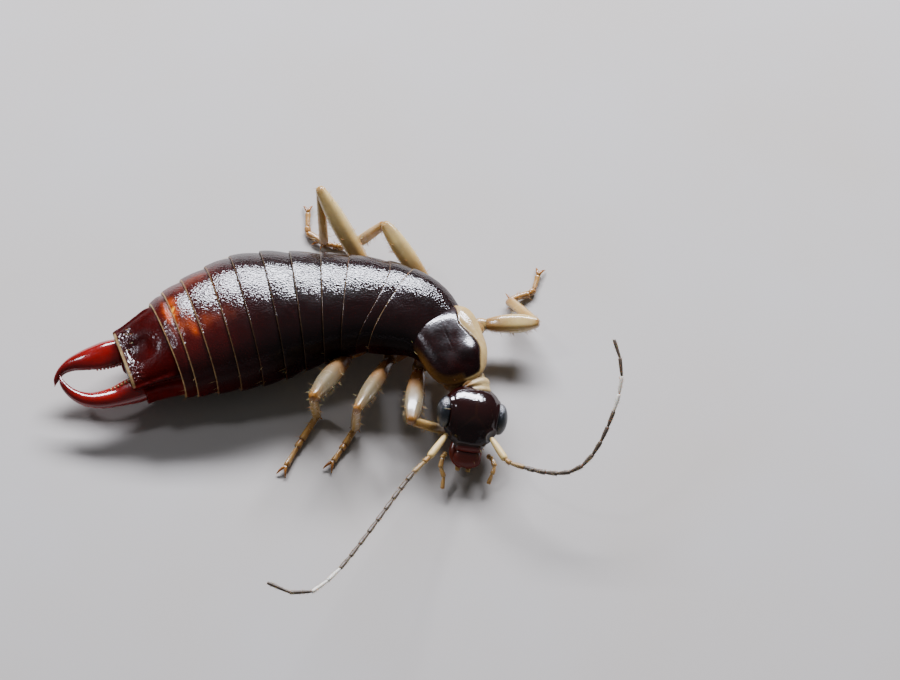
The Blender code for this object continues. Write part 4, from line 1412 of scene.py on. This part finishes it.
def head_frame():
    """Return the head's axes: forward, to its left and up."""
    return (
        Matrix.Rotation(HEAD_HEADING, 3, "Z")
        @ Matrix.Rotation(HEAD_PITCH, 3, "Y")
        @ Matrix.Rotation(-HEAD_ROLL, 3, "X")
    )


def in_head(along, side, rise):
    """Return the place of a point given along, left of and above the head's middle line."""
    return HEAD_BACK + head_frame() @ Vector((along, side, rise))


def from_head(point):
    """Return a point's place along, left of and above the head's middle line."""
    return head_frame().transposed() @ (Vector(point) - HEAD_BACK)


class EARWIG_OT_skin(bpy.types.Operator):
    """Shape the soft skin under the plates, the body under the shield and the folded neck"""

    bl_idname = "earwig.skin"
    bl_label = "Soft skin"

    def execute(self, context):
        clay = Clay()
        rows = []
        columns = 64
        for step in range(101):
            place = 0.7 + 12.1 * step / 100
            drop = 0.16 + shoulder_drop(place)
            row = []
            for column in range(columns):
                turn = 2 * math.pi * column / columns
                low = blend(0.35, -0.2, math.sin(turn)) if math.sin(turn) < 0.35 else 0.0
                tint = (0.0, 0.75, 0.9 - 0.5 * low, 0.0)
                row.append((trunk_point(place, turn, -drop), tint, trunk_way(place)))
            rows.append(row)
        clay.tube(rows)

        heading = shield_heading()
        rear = SHIELD_MIDDLE - heading * 0.80
        middle = SHIELD_MIDDLE + heading * 0.25
        front = SHIELD_MIDDLE + heading * 0.72
        inside = in_head(0.22, 0.0, -0.04)
        path = (
            (*rear.xy, 1.06, 0.60, 0.38), (*SHIELD_MIDDLE.xy, 1.08, 0.62, 0.42),
            (*middle.xy, 1.10, 0.56, 0.42), (*front.xy, 1.12, 0.47, 0.36),
            (*in_head(-0.05, 0.0, -0.02), 0.42, 0.30), (*inside, 0.36, 0.24),
        )

        def tint(share):
            return (0.0, 0.75 * (1 - blend(0.40, 0.62, share)), 0.0, 0.0)

        neck = round_rows(path, UP, 56, 110, 0.9, tint)
        for index, row in enumerate(neck):
            share = index / (len(neck) - 1)
            fold = 0.02 * math.sin(share * 2 * math.pi * 19) * blend(0.45, 0.6, share)
            middle_point = sum((spot[0] for spot in row), Vector()) / len(row)
            for column, (point, paint, way) in enumerate(row):
                outward = (point - middle_point).normalized()
                # Painted shade: the neck's right side is darkened towards amber and maroon.
                dark = 0.75 * blend(0.1, -0.5, outward.x) * blend(0.5, 0.6, share)
                paint = (0.0, max(paint[1], dark), 0.35 * dark, 0.0)
                row[column] = (point + outward * fold, paint, way)
        clay.tube(neck)
        put("soft_skin", clay.mesh("soft_skin"), made_material("soft folded skin", soft_cuticle),
            ("neck", "prothorax"))
        return {"FINISHED"}


def distance_to(point, start, end):
    """Return the distance of a flat point to a straight line between two others."""
    span = (end[0] - start[0], end[1] - start[1])
    reach = span[0] ** 2 + span[1] ** 2
    share = ((point[0] - start[0]) * span[0] + (point[1] - start[1]) * span[1]) / reach
    share = min(max(share, 0.0), 1.0)
    return math.hypot(
        point[0] - start[0] - span[0] * share, point[1] - start[1] - span[1] * share
    )


class EARWIG_OT_head(bpy.types.Operator):
    """Shape the head capsule, with its seams, eye rims and feeler sockets"""

    bl_idname = "earwig.head"
    bl_label = "Head"

    def execute(self, context):
        sockets = [from_head(line[0]) for line in (FEELER_LEFT, FEELER_RIGHT)]
        fork = (0.80, 0.0)
        seams = [((0.0, 0.0), fork)]
        seams += [(fork, (1.12, 0.36 * side)) for side in (1, -1)]
        clay = Clay()
        rows = []
        columns = 176
        per_station = 12
        stations = per_station * (len(HEAD_OUTLINE) - 1)
        profile = [(0.0, scale, back) for scale, back in ((0.35, 0.13), (0.72, 0.11), (0.92, 0.05))]
        profile += [(step / per_station, 1.0, 0.0) for step in range(stations + 1)]
        profile += [
            (stations / per_station, scale, -ahead)
            for scale, ahead in ((0.93, 0.02), (0.75, 0.045), (0.4, 0.06))
        ]
        for place, scale, back in profile:
            share, half_width, half_height = spline(HEAD_OUTLINE, place)
            along = share * HEAD_LENGTH - back
            row = []
            for column in range(columns):
                turn = 2 * math.pi * column / columns
                side = squared(math.cos(turn), HEAD_POWER) * half_width * scale
                rise = squared(math.sin(turn), HEAD_POWER) * half_height * scale
                outward = Vector((0.0, side / half_width**2, rise / half_height**2))
                outward.normalize()
                upper = blend(-0.05, 0.25, math.sin(turn))
                seam = min(distance_to((along, side), *ends) for ends in seams)
                groove = hill(seam, 0.028) * upper
                mouth_seam = hill(along - 1.52 + 0.10 * abs(side), 0.025) * upper
                lift = -0.006 * groove - 0.02 * mouth_seam
                brow = hill(along - 1.02, 0.16) * hill(side, 0.30) * upper
                lift += 0.02 * brow
                for socket in sockets:
                    gap = (Vector((along, side, rise)) - socket).length
                    lift += 0.045 * hill(gap - 0.19, 0.05) - 0.03 * hill(gap, 0.13)
                around_eye = math.hypot(
                    (along - EYE_PLACE[0]) / EYE_HALF_SIZES[0], (rise - EYE_PLACE[2]) / EYE_HALF_SIZES[2]
                )
                if abs(side) > 0.4:
                    lift += 0.03 * hill(around_eye - 1.12, 0.10) - 0.05 * (1 - blend(0.7, 1.0, around_eye))
                face = 0.75 * blend(1.50, 1.62, along)
                tint = (
                    0.02 * groove + 0.05 * mouth_seam,
                    min(1.0, 0.08 + face),
                    0.04 * face,
                    0.02 + 0.05 * face,
                )
                point = in_head(*(Vector((along, side, rise)) + outward * lift))
                row.append((point, tint, head_frame().col[0]))
            rows.append(row)
        clay.tube(rows)
        mesh = clay.mesh("head_capsule")
        put("head_capsule", mesh, made_material("polished head cuticle", head_cuticle),
            ("head",))
        bristles("head_bristles", mesh, 22.0, 0.2, 0.006, 0.5, 0.4, 17)
        return {"FINISHED"}


class EARWIG_OT_eyes(bpy.types.Operator):
    """Cover the two compound eyes with six-sided lenses"""

    bl_idname = "earwig.eyes"
    bl_label = "Eyes"

    def execute(self, context):
        material = made_material("eye lenses over black pigment", eye_lenses)
        along, out, rise = EYE_PLACE
        for side, name in ((1, "left"), (-1, "right")):
            seed = bpy.data.meshes.new("seed")
            mesh = grown(tree_named("Facets", facet_tree), "eye_lenses_" + name, seed, {
                "Subdivisions": sizes().facet_rows,
                "Half Sizes": [half * MM for half in EYE_HALF_SIZES],
                "Rise": 0.035,
                "Narrowing": 0.62,
                "Material": material,
            })
            middle = (in_head(along, side * out, rise) + MIDDLE) * MM
            mesh.transform(Matrix.Translation(middle) @ head_frame().to_4x4())
            put("eye_lenses_" + name, mesh, material, ("eye_" + name,))
        return {"FINISHED"}


class EARWIG_OT_mouth(bpy.types.Operator):
    """Shape the lip, the jaws, the lower lip and the palps"""

    bl_idname = "earwig.mouth"
    bl_label = "Mouthparts"

    def execute(self, context):
        up = head_frame().col[2]
        material = made_material("polished head cuticle", head_cuticle)
        straw = made_material("straw leg cuticle", leg_cuticle)
        clay = Clay()
        start = HEAD_LENGTH + 0.02
        lip = [
            (*in_head(start + 0.40 * share, 0.0, -0.05 - 0.13 * share), wide, deep)
            for share, wide, deep in (
                (0.0, 0.30, 0.10), (0.15, 0.33, 0.12), (0.40, 0.36, 0.13), (0.68, 0.34, 0.11),
                (0.86, 0.26, 0.08), (0.96, 0.15, 0.05), (1.0, 0.05, 0.02))
        ]

        def lip_tint(share):
            red = blend(0.02, 0.25, share)
            return (0.02 * red, 0.25 + 0.7 * red, 0.05 * red, 0.25 * share)

        clay.tube(round_rows(lip, up, 48, 36, 0.85, lip_tint))
        lip_mesh = clay.mesh("lip_plate")
        put("lip_plate", lip_mesh, material, ("labrum",))
        bristles("lip_bristles", lip_mesh, 60.0, 0.12, 0.005, 1.2, 0.4, 19)
        for side, name, line in ((1, "left", PALP_LEFT), (-1, "right", PALP_RIGHT)):
            clay = Clay()
            jaw = [
                (*in_head(along, side * out, rise), wide, deep)
                for along, out, rise, wide, deep in (
                    (1.36, 0.24, -0.36, 0.15, 0.10), (1.60, 0.28, -0.38, 0.15, 0.11),
                    (1.76, 0.24, -0.41, 0.12, 0.09), (1.90, 0.14, -0.43, 0.08, 0.06),
                    (1.95, 0.06, -0.44, 0.03, 0.03))
            ]
            clay.tube(round_rows(jaw, up, 24, 40, 0.9, lambda share: (0.0, 1.0, 0.15, 0.0)))
            put("jaw_" + name, clay.mesh("jaw_" + name), material,
                ("mandible_" + name,))
            links = string_of(line, PALP_ARTICLES, 0.07, 0.05, lambda number: (0.0, 0.6, 0.1, 0.4))
            mesh = chain("jaw_palp_" + name, links, straw)
            put("jaw_palp_" + name, mesh, straw, ("palp_" + name,))
            bristles("jaw_palp_down_" + name, mesh, 120.0, 0.06, 0.004, 0.6, 0.3, 23)
            lower = [
                in_head(1.42, side * 0.10, -0.36), in_head(1.66, side * 0.16, -0.47),
                in_head(1.86, side * 0.17, -0.50), in_head(2.04, side * 0.13, -0.52),
            ]
            links = string_of(lower, (0.24, 0.30, 0.40), 0.07, 0.055, lambda number: (0.0, 0.5, 0.0, 0.4))
            put("lip_palp_" + name, chain("lip_palp_" + name, links, straw), straw)
        clay = Clay()
        chin = [
            (*in_head(along, 0.0, rise), wide, 0.05)
            for along, rise, wide in (
                (0.55, -0.50, 0.10), (0.75, -0.52, 0.26), (1.10, -0.47, 0.30), (1.45, -0.42, 0.24),
                (1.66, -0.44, 0.10))
        ]
        clay.tube(round_rows(chin, up, 32, 32, 0.9, lambda share: (0.35, 0.8, 0.1, 0.1)))
        put("chin_plate", clay.mesh("chin_plate"), material)
        return {"FINISHED"}


def string_of(line, lengths, root, tip, tint):
    """Return the links of a chain of articles along a path."""
    place_at, _ = measured([tuple(place) for place in line])
    total = sum(lengths)
    ends = [sum(lengths[:count]) / total for count in range(len(lengths) + 1)]
    links = []
    for number, (near_end, far_end) in enumerate(zip(ends, ends[1:])):
        start = Vector(spline(line, place_at(near_end))[:3])
        span = Vector(spline(line, place_at(far_end))[:3]) - start
        links.append((start, span * 1.03, root + (tip - root) * near_end, tint(number)))
    return links


def feeler_tint(number):
    """Return the tint of one article of a feeler, counted from the head."""
    pale = 0.9 if number in WHITE_ARTICLES else 0.0
    warm = (1.0, 0.8, 0.35)[number] if number < 3 else 0.0
    amber = (0.1, 0.8, 0.3)[number] if number < 3 else 0.0
    return (pale, warm, amber, 0.05 if number == 0 else 1.0)


class EARWIG_OT_feelers(bpy.types.Operator):
    """String the sixteen articles of each feeler along its line and give them down"""

    bl_idname = "earwig.feelers"
    bl_label = "Feelers"

    def execute(self, context):
        material = made_material("downy feeler cuticle", feeler_cuticle)
        root, tip = sizes().feeler_root / MM, sizes().feeler_tip / MM
        for side, line in (("left", FEELER_LEFT), ("right", FEELER_RIGHT)):
            links = string_of(line, FEELER_ARTICLES, root, tip, feeler_tint)
            thinner = [
                (start, span, girth * (1.0 if number == 0 else 0.72), tint)
                for number, (start, span, girth, tint) in enumerate(links)
            ]
            mesh = chain("feeler_" + side, thinner, material)
            nodes = [f"antenna_{side}_{part}" for part in ("scape", "root", "middle", "tip")]
            put("feeler_" + side, mesh, material, nodes)
            bristles("feeler_down_" + side, mesh, 260.0, sizes().down / MM, 0.0035, 0.9, 0.3, 29)
        return {"FINISHED"}


def limb(clay, start, end, normal, outline, bristly, leg_shade_grey=0.0, root_stain_and_shade=1.0, girth=1.0):
    """Add one straight length of a leg, deep in the plane in which the leg bends.

    Bristles stand along its lower edge. A share of painted shade lays a darker grey on its
    clear part; the root's share says how amber and dark red its root is, partly its own colour
    and partly painted shade; and girth how thick it is for its outline.
    """
    start, end = Vector(start), Vector(end)
    way = (end - start).normalized()
    deep = way.cross(normal).normalized()
    thick = deep.cross(way).normalized()
    rows = []
    rings, sides = 40, 40
    for step in range(rings + 1):
        share, half_depth, half_thick, amber, dark = spline(
            outline, (len(outline) - 1) * step / rings
        )
        row = []
        for index in range(sides):
            turn = 2 * math.pi * index / sides
            # Two low keels run along the upper edge and two along the lower one.
            keel = 1 + 0.05 * math.cos(4 * turn)
            outward = deep * math.cos(turn) * half_depth + thick * math.sin(turn) * half_thick
            outward *= girth
            lower = blend(0.2, -0.8, (deep * math.cos(turn) + thick * math.sin(turn)).z)
            tint = (
                leg_shade_grey, min(max(amber, 0.0), 1.0) * (0.5 + 0.5 * root_stain_and_shade),
                root_stain_and_shade * min(max(dark, 0.0), 1.0),
                bristly * (0.15 + 1.7 * lower),
            )
            row.append((start.lerp(end, share) + outward * keel, tint, way))
        rows.append(row)
    clay.tube(rows)


def claws(clay, toe, way):
    """Add the two curved claws of a foot."""
    for side in (1, -1):
        turned = Matrix.Rotation(side * CLAW_SPREAD, 3, "Z") @ way
        path = []
        for share, rise, radius in (
            (-0.15, 0.0, 0.045), (0.15, 0.035, 0.045), (0.5, 0.035, 0.035), (0.8, -0.005, 0.022),
            (1.0, -0.055, 0.006),
        ):
            point = toe + turned * CLAW_LENGTH * share + UP * rise
            path.append((*point, radius, radius))
        clay.tube(round_rows(path, UP, 12, 16, 1.0, lambda share: (0.0, 1.0, 0.5 * share, 0.0)))


def leg_normal(places):
    """Return the direction square to the plane in which a leg bends."""
    trochanter, knee, ankle = (Vector(place) for place in places[1:4])
    return (knee - trochanter).cross(ankle - knee).normalized()


def foot(clay, ankle, arch, toe):
    """Add the three joints of a foot, which bends down from the ankle and lies on its arch."""
    line = [tuple(point) for point in (ankle, ankle.lerp(arch, 0.5), arch, toe)]
    place_at, _ = measured(line)
    path = [
        (*spline(line, place_at(share)), half_thick, half_depth)
        for share, half_depth, half_thick, _, _ in FOOT_OUTLINE
    ]

    def tint(share):
        amber, dark = spline(FOOT_OUTLINE, (len(FOOT_OUTLINE) - 1) * share)[3:]
        return (0.0, min(max(amber, 0.0), 1.0), max(dark, 0.0), 0.8)

    clay.tube(round_rows(path, UP, 24, 72, 1.0, tint))


def spurs(clay, knee, ankle, normal):
    """Add the two short spurs at the end of a shin."""
    shin = (ankle - knee).normalized()
    for side in (1, -1):
        root = ankle - shin * 0.03 + normal * side * 0.09
        tip = root + shin * 0.20 + normal * side * 0.07
        tip.z = max(tip.z, 0.03)
        path = [
            (*root.lerp(tip, share), radius, radius)
            for share, radius in ((0.0, 0.028), (0.5, 0.020), (1.0, 0.004))
        ]
        clay.tube(round_rows(path, normal.cross(shin), 10, 10, 1.0,
                             lambda share: (0.0, 1.0, 0.3, 0.0)))


class EARWIG_OT_legs(bpy.types.Operator):
    """Shape the six legs, each with coxa, trochanter, femur, tibia, three-jointed foot and claws"""

    bl_idname = "earwig.legs"
    bl_label = "Legs"

    def execute(self, context):
        material = made_material("straw leg cuticle", leg_cuticle)
        for name, places in LEGS.items():
            hip, trochanter, knee, ankle, arch, toe = (Vector(place) for place in places)
            normal = leg_normal(places)
            thigh = (knee - trochanter).normalized()
            near = name.endswith("right")
            # The right legs lie in the body's shade: their roots get fuller amber and dark red, partly
            # painted shade.
            root_stain_and_shade = 1.0 if near else 0.4
            # Painted shade: a darker grey over the thighs of the right legs, a little on their shins.
            leg_shade_grey = 0.85 if near else 0.1
            clay = Clay()
            inside = hip + (hip - trochanter).normalized() * 0.15
            limb(clay, inside, trochanter, normal, COXA_OUTLINE, 0.05, root_stain_and_shade=root_stain_and_shade)
            limb(clay, trochanter - thigh * 0.20, trochanter + thigh * 0.24, normal,
                 TROCHANTER_OUTLINE, 0.05, root_stain_and_shade=root_stain_and_shade)
            limb(clay, trochanter + thigh * 0.10, knee + thigh * 0.06, normal, FEMUR_OUTLINE, 0.4,
                 leg_shade_grey, root_stain_and_shade, THIGH_GIRTHS.get(name, 1.0))
            limb(clay, knee, ankle, normal, TIBIA_OUTLINE, 0.45, leg_shade_grey * 0.2)
            foot(clay, ankle, arch, toe)
            claws(clay, toe, (toe - arch).normalized())
            spurs(clay, knee, ankle, normal)
            mesh = clay.mesh("limb_" + name)
            nodes = [f"leg_{name}_{part}" for part in ("coxa", "femur", "tibia", "tarsus")]
            put("limb_" + name, mesh, material, nodes)
            bristles("limb_bristles_" + name, mesh, 90.0, sizes().leg_bristle / MM, 0.007, 0.6, 0.3,
                     31)
        return {"FINISHED"}


# Lights: name, place in millimetres, width, height, watts.
LIGHTS = (
    ("window behind", (8.4, 80.6, 67.4), 96.0, 22.0, 0.43),
    ("window past the tail", (-57.5, 23.7, 77.8), 12.0, 12.0, 0.018),
    ("pale card in front", (10.0, -90.0, 14.0), 130.0, 24.0, 0.003),
)
CAMERA_AIM = Vector((2.92, 1.67, 1.20))
CAMERA_DISTANCE = 75.0
CAMERA_ELEVATION = math.radians(58.0)
CAMERA_LENS = 115.4


def aimed(thing, place, aim):
    """Stand a light or the camera at a place and turn it to look at another."""
    thing.location = place * MM
    thing.rotation_euler = (aim - place).to_track_quat("-Z", "Y").to_euler()
    bpy.context.scene.collection.objects.link(thing)


class EARWIG_OT_stage(bpy.types.Operator):
    """Set up the pale floor, the soft lights and the camera at the photograph's angle"""

    bl_idname = "earwig.stage"
    bl_label = "Stage"

    def execute(self, context):
        scene = context.scene
        half = sizes().floor_width / 2
        mesh = bpy.data.meshes.new("floor")
        corners = [(-half, -half, 0.0), (half, -half, 0.0), (half, half, 0.0), (-half, half, 0.0)]
        mesh.from_pydata(corners, [], [(0, 1, 2, 3)])
        mesh.materials.append(made_material("matt white card", floor_card))
        floor = bpy.data.objects.new("floor", mesh)
        scene.collection.objects.link(floor)

        world = bpy.data.worlds.new("pale room")
        world.use_nodes = True
        background = world.node_tree.nodes["Background"]
        background.inputs["Color"].default_value = (*from_hex("#e6e9ee"), 1.0)
        background.inputs["Strength"].default_value = 0.12
        scene.world = world

        for name, place, width, height, watts in LIGHTS:
            light = bpy.data.lights.new(name, "AREA")
            light.shape = "RECTANGLE"
            light.size, light.size_y = width * MM, height * MM
            light.energy = watts
            light.color = from_hex("#eff1ff")
            aimed(bpy.data.objects.new(name, light), Vector(place), CAMERA_AIM)

        camera = bpy.data.cameras.new("camera")
        camera.lens = CAMERA_LENS
        camera.sensor_width = 36.0
        camera.clip_start, camera.clip_end = 1 * MM, 10.0
        looking = Vector((0.0, math.cos(CAMERA_ELEVATION), -math.sin(CAMERA_ELEVATION)))
        stand = bpy.data.objects.new("camera", camera)
        aimed(stand, CAMERA_AIM - looking * CAMERA_DISTANCE, CAMERA_AIM)
        scene.camera = stand
        return {"FINISHED"}


OPERATORS = (
    EARWIG_OT_skin, EARWIG_OT_abdomen, EARWIG_OT_thorax, EARWIG_OT_tail, EARWIG_OT_forceps,
    EARWIG_OT_shield, EARWIG_OT_head, EARWIG_OT_eyes, EARWIG_OT_mouth, EARWIG_OT_feelers,
    EARWIG_OT_legs, EARWIG_OT_stage,
)


class EARWIG_PT_sidebar(bpy.types.Panel):
    """Lists the pieces of the earwig and the sizes and colours behind them"""

    bl_idname = "EARWIG_PT_sidebar"
    bl_label = "Museum earwig"
    bl_space_type = "VIEW_3D"
    bl_region_type = "UI"
    bl_category = "Earwig"

    def draw(self, context):
        for operator in OPERATORS:
            self.layout.operator(operator.bl_idname)
        for group in (context.scene.earwig_sizes, context.scene.earwig_colours):
            box = self.layout.box()
            for name in group.__annotations__:
                box.prop(group, name)


CLASSES = (EarwigSizes, EarwigColours, *OPERATORS, EARWIG_PT_sidebar)


def register():
    for item in CLASSES:
        bpy.utils.register_class(item)
    bpy.types.Scene.earwig_sizes = bpy.props.PointerProperty(type=EarwigSizes)
    bpy.types.Scene.earwig_colours = bpy.props.PointerProperty(type=EarwigColours)


def unregister():
    del bpy.types.Scene.earwig_colours
    del bpy.types.Scene.earwig_sizes
    for item in reversed(CLASSES):
        bpy.utils.unregister_class(item)


def main():
    """Build every piece in order."""
    register()
    for operator in OPERATORS:
        group, name = operator.bl_idname.split(".")
        getattr(getattr(bpy.ops, group), name)()


if __name__ == "__main__":
    main()
